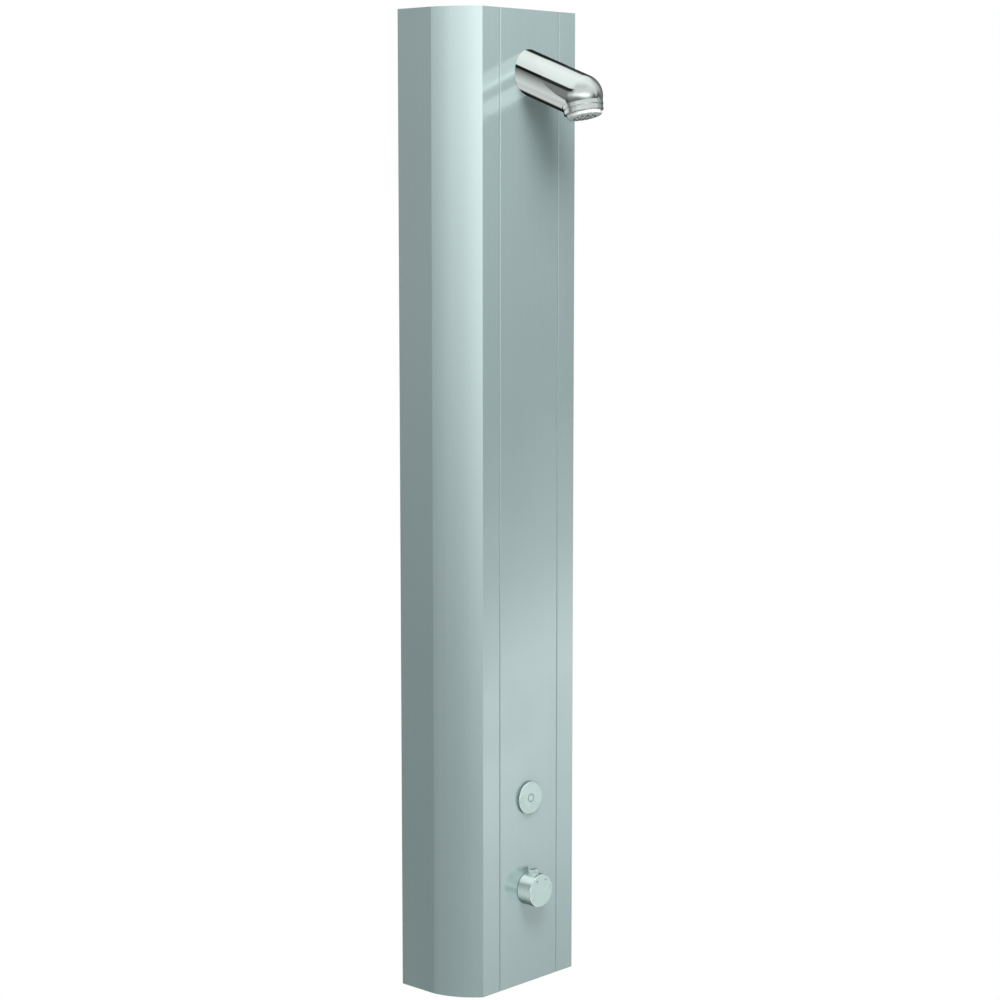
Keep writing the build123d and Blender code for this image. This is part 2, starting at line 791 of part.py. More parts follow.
# Temperature knob: a cup over the lock ring, with a hub for the spindle and a stop pin
knob_back = panel_depth + knob_standoff
knob_front = panel_depth + knob_proud
face_back = knob_front - knob_face
hub_start = face_back - hub_length
hub_bore_end = face_back - spindle_end_gap
knob_inner = knob_radius - knob_wall
grub_distance = (hub_start + hub_bore_end) / 2
knob_down = axis_plane(Vector(0, -grub_distance, knob_z), Vector(0, 0, -1))
with BuildPart() as temperature_knob:
    turned(
        Vector(0, 0, knob_z),
        OUTWARD,
        [
            (0, knob_front),
            (knob_radius - knob_bevel, knob_front),
            (knob_radius, knob_front - knob_bevel),
            (knob_radius, knob_back),
            (knob_inner, knob_back),
            (knob_inner, face_back),
            (hub_radius, face_back),
            (hub_radius, hub_start),
            (spindle_bush, hub_start),
            (spindle_bush, hub_bore_end),
            (0, hub_bore_end),
        ],
    )
    pin_turn = radians(knob_pin_angle)
    pin_plane = out_of_wall(stop_pin_circle * cos(pin_turn),
                            knob_z + stop_pin_circle * sin(pin_turn))
    bar(pin_plane, stop_top + knob_pin_gap, face_back + knob_face / 2, stop_pin_radius)
    slot_half = safety_width / 2 + safety_slot_gap
    slot_reach = safety_length / 2 + safety_slot_gap
    block((-slot_half, slot_half), (safety_distance - slot_reach, safety_distance + slot_reach),
          (knob_z + hub_radius + safety_flange, knob_z + 2 * knob_radius), Mode.SUBTRACT)
    for side in (-1, 1):
        bar(out_of_wall(side * dot_spacing / 2, knob_z + dot_rise), knob_front - dot_depth,
            knob_front + dot_depth, dot_radius + running_gap, Mode.SUBTRACT)
    bar(knob_down, 0, 2 * knob_radius, grub_radius + thread_gap, Mode.SUBTRACT)
save(temperature_knob.part, "temperature_knob")

with BuildPart() as knob_dots:
    for side in (-1, 1):
        bar(out_of_wall(side * dot_spacing / 2, knob_z + dot_rise), knob_front - dot_depth,
            knob_front, dot_radius)
save(knob_dots.part, "knob_dots")

with BuildPart() as knob_screw:
    bar(knob_down, spindle_bush, spindle_bush + grub_length, grub_radius)
save(knob_screw.part, "knob_screw")

with BuildPart() as temperature_spindle:
    bar(mixer_axis, cartridge_end - cartridge_front_wall - spindle_tail,
        hub_bore_end - part_gap, spindle_radius)
save(temperature_spindle.part, "temperature_spindle")

# Safety button: stands out of the knob's rim and is kept in by its flange
flange_top = knob_z + sqrt(knob_inner**2 - (safety_flange_width / 2) ** 2) - part_gap
with BuildPart() as safety_button:
    half_length = safety_length / 2
    block((-safety_width / 2, safety_width / 2),
          (safety_distance - half_length, safety_distance + half_length),
          (flange_top - safety_flange, knob_z + knob_radius + safety_proud))
    chamfer(safety_button.edges().group_by(Axis.Z)[-1], edge_chamfer)
    block((-safety_flange_width / 2, safety_flange_width / 2),
          (safety_distance - half_length, safety_distance + half_length),
          (flange_top - safety_flange, flange_top))
save(safety_button.part, "safety_button")

with BuildPart() as safety_spring:
    tube(upright(0, safety_distance), knob_z + hub_radius + spring_seat_gap,
         flange_top - safety_flange, safety_spring_radius,
         safety_spring_radius - safety_spring_wire)
save(safety_spring.part, "safety_spring")

# Start button: a thin disc on a stem that reaches back to the switch
button_axis = out_of_wall(0, button_z)
button_front = panel_depth + button_proud
disc_back = button_front - button_disc
stem_end = disc_back - stem_length
collar_front = plate_back - housing_front_wall - part_gap


def symbol_face(distance, grow):
    """Ring open at the top with an upright tick, on a plane across the button's axis."""
    with BuildSketch(Plane.XZ.offset(distance)) as symbol:
        with Locations((0, button_z)):
            Circle(symbol_radius + symbol_stroke / 2 + grow)
            Circle(symbol_radius - symbol_stroke / 2 - grow, mode=Mode.SUBTRACT)
        with Locations((0, button_z + symbol_radius)):
            Rectangle(symbol_gap_width - 2 * grow, 2 * symbol_stroke + symbol_radius / 2,
                      mode=Mode.SUBTRACT)
        with Locations((0, button_z + symbol_tick_top - symbol_tick_length / 2)):
            Rectangle(symbol_stroke + 2 * grow, symbol_tick_length + 2 * grow)
    return symbol.sketch


with BuildPart() as start_button:
    turned(
        Vector(0, 0, button_z),
        OUTWARD,
        [
            (0, stem_end),
            (stem_radius, stem_end),
            (stem_radius, collar_front - collar_thickness),
            (collar_radius, collar_front - collar_thickness),
            (collar_radius, collar_front),
            (stem_radius, collar_front),
            (stem_radius, disc_back),
            (button_radius - edge_chamfer, disc_back),
            (button_radius, disc_back + edge_chamfer),
            (button_radius, button_front - button_bevel),
            (button_radius - button_bevel, button_front),
            (0, button_front),
        ],
    )
    extrude(symbol_face(button_front - symbol_depth, running_gap), amount=2 * symbol_depth,
            mode=Mode.SUBTRACT)
save(start_button.part, "start_button")

with BuildPart() as button_symbol:
    extrude(symbol_face(button_front - symbol_depth, 0), amount=symbol_depth)
save(button_symbol.part, "button_symbol")

housing_end = plate_back - housing_depth
flange_back = plate_back - housing_flange_thickness
with BuildPart() as button_housing:
    with BuildSketch(Plane.XZ.offset(flange_back)):
        with Locations((0, button_z)):
            Rectangle(housing_flange, housing_flange)
        with Locations(housing_studs):
            Circle(housing_stud_radius + part_gap, mode=Mode.SUBTRACT)
    extrude(amount=housing_flange_thickness)
    bar(button_axis, housing_end, plate_back, housing_radius)
    bar(button_axis, plate_back, panel_depth, housing_neck_radius)
    bar(button_axis, housing_end + housing_wall, plate_back - housing_front_wall,
        housing_radius - housing_wall, Mode.SUBTRACT)
    bar(button_axis, housing_end + housing_wall, panel_depth, stem_radius + running_gap,
        Mode.SUBTRACT)
save(button_housing.part, "button_housing")

# Nuts on the front plate's studs: along the seams, and behind the button's housing
with BuildPart() as stud_nuts:
    for side in (-1, 1):
        for z in stud_zs:
            hex_nut(out_of_wall(side * stud_x, z), lip_back - stud_nut_height, lip_back,
                    stud_nut_width, stud_radius + thread_gap)
    for x, z in housing_studs:
        hex_nut(out_of_wall(x, z), flange_back - housing_nut_height, flange_back,
                housing_nut_width, housing_stud_radius + thread_gap)
save(stud_nuts.part, "stud_nuts")

with BuildPart() as button_spring:
    tube(button_axis, housing_end + housing_wall, collar_front - collar_thickness,
         collar_radius, collar_radius - button_spring_wire)
save(button_spring.part, "button_spring")

with BuildPart() as button_switch:
    half = switch_size / 2
    switch_start = housing_end + housing_wall
    block((-half, half), (switch_start, switch_start + switch_length),
          (button_z - half, button_z + half))
    bar(button_axis, switch_start, stem_end - button_travel - part_gap, housing_stud_radius)
save(button_switch.part, "button_switch")

# Solenoid valve on the mixer's outlet, its coil lying to the left
solenoid_bottom = port_top + nipple_nut_height
solenoid_top = solenoid_bottom + solenoid_height
coil_axis = sideways(-1, riser_distance, (solenoid_bottom + solenoid_top) / 2)
core_bore = core_radius - core_wall
with BuildPart() as solenoid_body:
    bar(riser_axis, solenoid_bottom, solenoid_top, solenoid_radius)
    bar(coil_axis, 0, core_reach, core_radius)
    bar(riser_axis, solenoid_bottom, solenoid_top, riser_radius - riser_wall, Mode.SUBTRACT)
    bar(riser_axis, solenoid_bottom, solenoid_bottom + nipple_overlap, riser_radius + thread_gap,
        Mode.SUBTRACT)
    bar(riser_axis, solenoid_top - nipple_overlap, solenoid_top, riser_radius + thread_gap,
        Mode.SUBTRACT)
    bar(coil_axis, 0, core_reach - core_wall, core_bore, Mode.SUBTRACT)
save(solenoid_body.part, "solenoid_body")

with BuildPart() as solenoid_coil:
    tube(coil_axis, coil_start, coil_start + coil_length, coil_radius, core_radius + running_gap)
save(solenoid_coil.part, "solenoid_coil")

plunger_end = plunger_start + plunger_length
with BuildPart() as solenoid_plunger:
    bar(coil_axis, plunger_start, plunger_end, core_bore - running_gap)
save(solenoid_plunger.part, "solenoid_plunger")

with BuildPart() as solenoid_spring:
    tube(coil_axis, plunger_end, core_reach - core_wall, core_bore - part_gap,
         core_bore - part_gap - safety_spring_wire)
save(solenoid_spring.part, "solenoid_spring")

# Riser: a short nipple under the solenoid valve and the long pipe up to the elbow
with BuildPart() as riser_pipe:
    bore = riser_radius - riser_wall
    tube(riser_axis, port_top - nipple_overlap, solenoid_bottom + nipple_overlap, riser_radius,
         bore)
    tube(riser_axis, solenoid_top - nipple_overlap, leg_end + socket_depth - part_gap,
         riser_radius, bore)
save(riser_pipe.part, "riser_pipe")

with BuildPart() as riser_nuts:
    for start, end in (
        (port_top, solenoid_bottom),
        (solenoid_top, solenoid_top + riser_nut_height),
        (leg_end - riser_nut_height, leg_end),
    ):
        hex_nut(riser_axis, start, end, riser_nut_width, riser_radius + thread_gap)
save(riser_nuts.part, "riser_nuts")

with BuildPart() as pipe_clips:
    for z in (equipment_z, *rail_zs):
        low, high = z - clip_width / 2, z + clip_width / 2
        block((-clip_leg / 2, clip_leg / 2),
              (bracket_thickness, riser_distance - riser_radius), (low, high))
        bar(riser_axis, low, high, riser_radius + clip_wall)
        bar(riser_axis, low, high, riser_radius + running_gap, Mode.SUBTRACT)
save(pipe_clips.part, "pipe_clips")

# Stop valves: a check valve behind, a quarter-turn spindle in front, the outlet on top
valve_port_top = valve_z + valve_port_reach
poppet_start = seat_start + seat_web
poppet_end = poppet_start + poppet_disc
retainer_start = poppet_end + check_spring_length
for side, name in ((-1, "hot"), (1, "cold")):
    valve_x = side * inlet_spacing / 2
    valve_axis = out_of_wall(valve_x, valve_z)
    port_axis = upright(valve_x, inlet_distance)
    with BuildPart() as stop_valve:
        bar(valve_axis, valve_back, valve_front, valve_radius)
        bar(valve_axis, bracket_thickness, bracket_thickness + valve_flange, valve_flange_radius)
        bar(port_axis, valve_z, valve_port_top, valve_port_radius)
        bar(valve_axis, valve_back, valve_back + inlet_thread_length, inlet_thread_radius,
            Mode.SUBTRACT)
        bar(valve_axis, valve_back, seat_start, chamber_radius, Mode.SUBTRACT)
        bar(valve_axis, seat_start, poppet_start, seat_hole_radius, Mode.SUBTRACT)
        bar(valve_axis, poppet_start, chamber_end, chamber_radius, Mode.SUBTRACT)
        bar(valve_axis, chamber_end, valve_front, stop_spindle_radius + running_gap,
            Mode.SUBTRACT)
        bar(port_axis, valve_z, valve_port_top, tube_radius - tube_wall, Mode.SUBTRACT)
        bar(port_axis, valve_port_top - tube_overlap, valve_port_top, tube_radius + thread_gap,
            Mode.SUBTRACT)
    save(stop_valve.part, f"{name}_stop_valve")

    with BuildPart() as stop_spindle:
        disc_start = retainer_start + retainer_thickness + stop_spindle_disc
        spindle_front = valve_front + stop_spindle_proud
        bar(valve_axis, disc_start, disc_start + stop_spindle_disc, chamber_radius - running_gap)
        bar(valve_axis, disc_start, spindle_front, stop_spindle_radius)
        block((valve_x - slot_width / 2, valve_x + slot_width / 2),
              (spindle_front - slot_depth, spindle_front + slot_depth),
              (valve_z - valve_radius, valve_z + valve_radius), Mode.SUBTRACT)
    save(stop_spindle.part, f"{name}_stop_spindle")

    with BuildPart() as check_poppet:
        bar(valve_axis, poppet_start, poppet_end, chamber_radius - running_gap)
        bar(valve_axis, poppet_end, poppet_end + poppet_stem_length, poppet_stem_radius)
    save(check_poppet.part, f"{name}_check_poppet")

    with BuildPart() as check_spring:
        spring_radius = retainer_hole_radius + check_spring_wire
        tube(valve_axis, poppet_end, retainer_start, spring_radius,
             spring_radius - check_spring_wire)
    save(check_spring.part, f"{name}_check_spring")

with BuildPart() as check_retainers:
    for side in (-1, 1):
        tube(out_of_wall(side * inlet_spacing / 2, valve_z), retainer_start,
             retainer_start + retainer_thickness, chamber_radius - running_gap,
             retainer_hole_radius)
save(check_retainers.part, "check_retainers")

with BuildPart() as supply_tubes:
    for side in (-1, 1):
        start = Vector(side * inlet_spacing / 2, -inlet_distance, valve_port_top - tube_overlap)
        bend = Vector(start.X, start.Y, knob_z)
        end = Vector(side * (inlet_port_reach - tube_overlap), start.Y, knob_z)
        with BuildLine() as route:
            FilletPolyline(start, bend, end, radius=tube_bend)
        with BuildSketch(Plane(origin=start, x_dir=(1, 0, 0), z_dir=(0, 0, 1))):
            Circle(tube_radius)
            Circle(tube_radius - tube_wall, mode=Mode.SUBTRACT)
        sweep(path=route.line)
save(supply_tubes.part, "supply_tubes")

with BuildPart() as tube_nuts:
    for side in (-1, 1):
        hex_nut(upright(side * inlet_spacing / 2, inlet_distance), valve_port_top,
                valve_port_top + tube_nut_height, tube_nut_width, tube_radius + thread_gap)
        hex_nut(sideways(side, inlet_distance, knob_z), inlet_port_reach,
                inlet_port_reach + tube_nut_height, tube_nut_width, tube_radius + thread_gap)
save(tube_nuts.part, "tube_nuts")

# Control box with its lid and batteries, on the equipment rail to the left of the riser
box_front = box_distance - lid_thickness
box_low = equipment_z - control_height / 2
box_high = equipment_z + control_height / 2
box_left = control_x - control_width / 2
box_right = control_x + control_width / 2
with BuildPart() as control_box:
    block((box_left, box_right), (bracket_thickness, box_front), (box_low, box_high))
    block((box_left + box_wall, box_right - box_wall),
          (bracket_thickness + box_wall, box_front + box_wall),
          (box_low + box_wall, box_high - box_wall), Mode.SUBTRACT)
save(control_box.part, "control_box")

with BuildPart() as control_lid:
    block((box_left, box_right), (box_front, box_distance), (box_low, box_high))
    chamfer(control_lid.edges().group_by(Axis.Y)[0], edge_chamfer)
save(control_lid.part, "control_lid")

with BuildPart() as batteries:
    battery_distance = bracket_thickness + box_wall + battery_radius
    for column in range(battery_count):
        x = control_x + (column - (battery_count - 1) / 2) * battery_pitch
        bar(upright(x, battery_distance), equipment_z - battery_length / 2,
            equipment_z + battery_length / 2, battery_radius)
save(batteries.part, "batteries")

# Leads from the button's switch and from the coil, up to the control box
cable_distance = (bracket_thickness + box_front) / 2
coil_z = (solenoid_bottom + solenoid_top) / 2
coil_middle = coil_start + coil_length / 2
switch_distance = (housing_end + flange_back) / 2
cable_routes = (
    (
        (-housing_radius, -switch_distance, button_z),
        (box_right - 32.0, -switch_distance, button_z),
        (box_right - 36.0, -58.0, button_z + 48.0),
        (box_right - 34.0, -cable_distance, button_z + 88.0),
        (box_right - 34.0, -cable_distance, box_low),
    ),
    (
        (-coil_middle, -riser_distance, coil_z + coil_radius),
        (-coil_middle, -riser_distance, coil_z + 70.0),
        (box_left + 14.0, -cable_distance, coil_z + 130.0),
        (box_left + 14.0, -cable_distance, box_low),
    ),
)
cable_length = 0.0
with BuildPart() as internal_cables:
    for points in cable_routes:
        with BuildLine() as route:
            FilletPolyline(*points, radius=cable_bend)
        first = Vector(*points[1]) - Vector(*points[0])
        with BuildSketch(axis_plane(Vector(*points[0]), first.normalized())):
            Circle(cable_radius)
        sweep(path=route.line)
        cable_length += sum(edge.length for edge in route.edges())
save(internal_cables.part, "internal_cables")
cable_section = pi * cable_radius**2
print("cables, mm:", round(cable_length, 1), "volume over section:",
      round(internal_cables.part.volume / cable_section, 1), "bend radius:", cable_bend)
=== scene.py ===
"""Dresses and lights the wall-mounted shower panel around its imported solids.

Lengths are metres in the part's own frame: the wall is the plane Y = 0, the panel's front looks
along -Y, +Z is up, and X runs to the right seen from the front.
"""
import json
import logging
import math
from collections.abc import Sequence
from dataclasses import dataclass, replace
from enum import Enum

import bmesh
import bpy
import numpy as np
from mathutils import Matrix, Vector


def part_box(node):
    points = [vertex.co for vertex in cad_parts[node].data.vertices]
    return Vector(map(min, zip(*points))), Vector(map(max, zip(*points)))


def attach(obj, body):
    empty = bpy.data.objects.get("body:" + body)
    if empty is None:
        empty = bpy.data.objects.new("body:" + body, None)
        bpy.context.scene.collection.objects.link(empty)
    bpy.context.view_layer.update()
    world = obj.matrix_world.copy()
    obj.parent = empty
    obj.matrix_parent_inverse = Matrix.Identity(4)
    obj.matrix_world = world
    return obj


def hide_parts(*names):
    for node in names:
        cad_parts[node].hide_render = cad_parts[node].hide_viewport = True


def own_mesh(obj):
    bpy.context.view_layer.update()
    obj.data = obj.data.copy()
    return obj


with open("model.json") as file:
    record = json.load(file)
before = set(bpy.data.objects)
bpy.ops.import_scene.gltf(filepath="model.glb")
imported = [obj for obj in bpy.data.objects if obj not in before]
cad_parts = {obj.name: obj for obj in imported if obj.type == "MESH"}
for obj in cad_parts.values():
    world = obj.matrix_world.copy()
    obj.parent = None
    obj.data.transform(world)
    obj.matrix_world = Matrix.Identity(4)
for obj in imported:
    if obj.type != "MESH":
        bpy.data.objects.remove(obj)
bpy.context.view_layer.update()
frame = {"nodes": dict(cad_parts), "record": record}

log = logging.getLogger("shower_panel")
MM = 0.001
MIX_FIRST, MIX_LAST, MIX_RESULT = 6, 7, 2  # colour sockets of a Mix node
WHITE = (1.0, 1.0, 1.0, 1.0)
TURN = 2.0 * math.pi
LEAST_BEND = 0.05  # radius in millimetres that an inset corner keeps
Triple = tuple[float, float, float]
Socket = bpy.types.NodeSocket
Tree = bpy.types.NodeTree
Materials = dict[str, bpy.types.Material]


class Effect(Enum):
    """What breaks up the surface of a finish."""

    DRAWN = "drawn grain"
    TURNED = "turned grain"
    MOULDED = "moulded skin"
    SPANGLE = "zinc spangle"
    CAST = "cast skin"


class Graph:
    """Adds and links the nodes of one shader tree."""

    def __init__(self, tree: Tree) -> None:
        """Start on a tree.

        Args:
            tree: The material's, world's or group's node tree.
        """
        self.tree = tree

    def add(self, kind: str, inputs: dict | None = None, **settings: object) -> bpy.types.Node:
        """Add one node.

        Args:
            kind: The node's type, without the leading ShaderNode.
            inputs: Values or output sockets for the node's inputs, by name or number.
            **settings: The node's own properties.

        Returns:
            The new node.
        """
        node = self.tree.nodes.new("ShaderNode" + kind)
        for name, value in settings.items():
            setattr(node, name, value)
        for key, value in (inputs or {}).items():
            if isinstance(value, Socket):
                self.tree.links.new(value, node.inputs[key])
            else:
                node.inputs[key].default_value = value
        return node

    def math(self, operation: str, *values: object) -> Socket:
        """Add a Math node.

        Args:
            operation: The node's operation.
            *values: Numbers or sockets, in the order of the node's inputs.

        Returns:
            The node's result.
        """
        node = self.add("Math", dict(enumerate(values)), operation=operation)
        return node.outputs[0]

    def ramp(self, value: Socket, low: float, high: float, first: float, last: float) -> Socket:
        """Map a value smoothly from one range to another.

        Args:
            value: The socket to map.
            low: Where the mapping starts.
            high: Where it ends.
            first: The result at low and below.
            last: The result at high and above.

        Returns:
            The mapped value.
        """
        node = self.add("MapRange", {"Value": value, "From Min": low, "From Max": high,
                                     "To Min": first, "To Max": last},
                        interpolation_type="SMOOTHSTEP")
        return node.outputs["Result"]

    def noise(self, place: Socket, detail: float, rough: float = 0.5) -> Socket:
        """Add noise with one feature to each unit.

        Args:
            place: The coordinates.
            detail: Octaves of the noise.
            rough: How strong the finer octaves are.

        Returns:
            The noise, 0 to 1.
        """
        return self.add("TexNoise", {"Vector": place, "Scale": 1.0, "Detail": detail,
                                     "Roughness": rough}).outputs["Fac"]

    def scaled(self, place: Socket, factor: float) -> Socket:
        """Multiply a vector by a number."""
        return self.add("VectorMath", {0: place, "Scale": factor}, operation="SCALE").outputs[0]

    def length(self, first: Socket, second: Socket) -> Socket:
        """Work out the square root of the sum of two squares."""
        return self.math("SQRT", self.math("MULTIPLY_ADD", first, first,
                                           self.math("MULTIPLY", second, second)))

    def straight(self) -> Socket:
        """Tell rays of the camera, or through glass, from all others."""
        rays = self.add("LightPath").outputs
        return self.math("MAXIMUM", rays["Is Camera Ray"], rays["Is Transmission Ray"])


def cleared(owner: bpy.types.Material | bpy.types.World) -> Graph:
    """Give a material or a world an empty node tree."""
    owner.use_nodes = True
    owner.node_tree.nodes.clear()
    return Graph(owner.node_tree)


# Levels of brightness by height in degrees, and in each set of columns the azimuth too, from -Y
# towards -X in degrees; a set starts and ends straight behind
OPEN_BEHIND = ((-60.0, 0.60), (-15.0, 0.85), (10.0, 1.00), (52.0, 1.05), (90.0, 1.05))
LOW_PANEL = ((-60.0, 0.12), (-25.0, 0.29), (-18.0, 0.54), (-15.7, 0.98), (-12.2, 1.40),
             (-10.7, 1.12), (-9.2, 0.32), (-7.0, 0.08), (-2.5, 0.12), (4.0, 0.18))
OPEN_COLUMNS = (
    (-180.0, OPEN_BEHIND),
    (-156.0, ((-60.0, 0.40), (-15.0, 0.60), (10.0, 0.70), (40.0, 0.75), (52.0, 0.95),
              (90.0, 1.05))),
    (-126.0, ((-60.0, 0.10), (-15.0, 0.12), (5.0, 0.08), (43.0, 0.05), (50.0, 0.90),
              (90.0, 1.05))),
    (-90.0, ((-60.0, 0.12), (-15.0, 0.18), (10.0, 0.20), (43.0, 0.30), (52.0, 0.85),
             (90.0, 1.05))),
    (-62.0, (*LOW_PANEL, (16.0, 0.50), (90.0, 1.00))),
    (-28.0, (*LOW_PANEL, (16.0, 0.66), (90.0, 1.00))),
    (28.0, ((-60.0, 0.35), (-18.0, 0.26), (-12.0, 0.50), (-7.3, 0.84), (-2.5, 1.28),
            (4.0, 1.74), (12.0, 1.05), (20.0, 0.80), (50.0, 0.68), (90.0, 1.00))),
    (74.0, ((-60.0, 0.35), (-18.0, 0.19), (-12.0, 0.27), (-7.3, 0.42), (-2.5, 0.74),
            (4.0, 1.14), (12.0, 0.90), (20.0, 0.74), (50.0, 0.66), (90.0, 1.00))),
    (108.0, ((-60.0, 0.10), (-18.0, 0.19), (-12.0, 0.25), (-7.3, 0.33), (-2.5, 0.46),
             (4.0, 0.66), (17.0, 0.30), (20.5, 0.03), (31.0, 0.03), (34.0, 0.85),
             (90.0, 1.00))),
    (133.0, ((-60.0, 0.10), (-18.0, 0.08), (-12.0, 0.12), (-7.3, 0.17), (-2.5, 0.24),
             (4.0, 0.22), (17.0, 0.20), (20.5, 0.03), (31.0, 0.03), (34.0, 0.90),
             (90.0, 1.05))),
    (158.0, ((-60.0, 0.30), (-15.0, 0.45), (10.0, 0.50), (40.0, 0.60), (52.0, 0.95),
             (90.0, 1.05))),
    (180.0, OPEN_BEHIND),
)
# The same for what the polished head mirrors where the panel stands behind it: in the photograph
# it shows a studio's bright and black bands there, and nothing of the panel
# Painted reflection: the panel's outer front glows with these levels to mirrored rays alone, so the
# head mirrors these bands in place of the panel
PAINTED_BANDS_BEHIND = ((-36.0, 0.02), (-33.0, 0.70), (-10.0, 0.80), (40.0, 0.90), (90.0, 1.00))
PAINTED_DARK_BAND = ((-30.0, 0.70), (-10.0, 0.60), (3.0, 0.42), (14.0, 0.24), (20.0, 0.14),
             (22.0, 0.01), (31.0, 0.01), (34.0, 0.85), (90.0, 1.00))
PAINTED_BAND_COLUMNS = (
    (-180.0, PAINTED_BANDS_BEHIND),
    (-172.0, ((-36.0, 0.02), (-33.0, 0.60), (-10.0, 0.60), (40.0, 0.90), (90.0, 1.00))),
    (-162.0, ((-60.0, 0.01), (50.0, 0.02), (58.0, 0.95), (90.0, 1.00))),
    (-126.0, ((-60.0, 0.01), (46.0, 0.02), (51.0, 0.90), (90.0, 1.00))),
    (-90.0, ((-60.0, 0.05), (46.0, 0.10), (51.0, 0.90), (90.0, 1.00))),
    (110.0, PAINTED_DARK_BAND),
    (134.0, PAINTED_DARK_BAND),
    (152.0, ((-36.0, 0.40), (-21.0, 0.76), (-10.0, 0.70), (30.0, 0.70), (50.0, 0.95),
             (90.0, 1.00))),
    (180.0, PAINTED_BANDS_BEHIND),
)
LEAN_AT = -47.0  # where the front's reflected rays leave, in degrees
LEAN = 0.75  # slope there of the bright panel's edge
LEAN_FULL, LEAN_GONE = 8.0, 21.0  # degrees to each side where it starts to fade, and is gone
# The walls of the seams count as outer front, so they glow with the painted reflection too
SEAM_DEPTH = -0.1081  # Y down to which the walls of a seam count as outer front


def group(name: str, given: str, kind: str,
          results: Sequence[str]) -> tuple[Graph, Socket, bpy.types.Node]:
    """Start a shader group with one input.

    Args:
        name: The group's name.
        given: The input's name.
        kind: The input's socket type.
        results: Names of the outputs, all plain values.

    Returns:
        The graph, the input's socket and the output node.
    """
    tree = bpy.data.node_groups.new(name, "ShaderNodeTree")
    tree.interface.new_socket(given, in_out="INPUT", socket_type=kind)
    for label in results:
        tree.interface.new_socket(label, in_out="OUTPUT", socket_type="NodeSocketFloat")
    start = tree.nodes.new("NodeGroupInput")
    return Graph(tree), start.outputs[given], tree.nodes.new("NodeGroupOutput")


def surrounding(name: str, columns: Sequence) -> Tree:
    """Build a group that gives the brightness of a studio by direction.

    Args:
        name: The group's name.
        columns: Azimuth of each column, and its levels by height.

    Returns:
        The group, with input Direction and output Level.
    """
    graph, way, out = group(name, "Direction", "NodeSocketVector", ["Level"])
    parts = graph.add("SeparateXYZ", {0: way})
    azimuth = graph.math("ARCTAN2", graph.math("MULTIPLY", parts.outputs["X"], -1.0),
                         graph.math("MULTIPLY", parts.outputs["Y"], -1.0))
    middle, full, gone = (math.radians(angle) for angle in (LEAN_AT, LEAN_FULL, LEAN_GONE))
    near = graph.math("MULTIPLY", graph.ramp(azimuth, middle - gone, middle - full, 0.0, 1.0),
                      graph.ramp(azimuth, middle + full, middle + gone, 1.0, 0.0))
    aside = graph.math("SUBTRACT", azimuth, middle)
    lean = graph.math("MULTIPLY", graph.math("MULTIPLY", aside, near), 0.5 * LEAN)
    place = graph.math("ADD", lean, graph.math("MULTIPLY_ADD", parts.outputs["Z"], 0.5, 0.5))
    total, before = None, 0.0
    for turn, levels in columns:
        ramp = graph.add("ValToRGB", {"Fac": place})
        stops = ramp.color_ramp.elements
        while len(stops) < len(levels):
            stops.new(1.0)
        for stop, (height, level) in zip(stops, levels):
            stop.position = math.sin(math.radians(height)) * 0.5 + 0.5
            stop.color = (level, level, level, 1.0)
        column = ramp.outputs["Color"]
        if total is not None:
            share = graph.ramp(azimuth, before, math.radians(turn), 0.0, 1.0)
            column = graph.add("Mix", {0: share, 2: total, 3: column}).outputs[0]
        total, before = column, math.radians(turn)
    graph.tree.links.new(total, out.inputs["Level"])
    return graph.tree


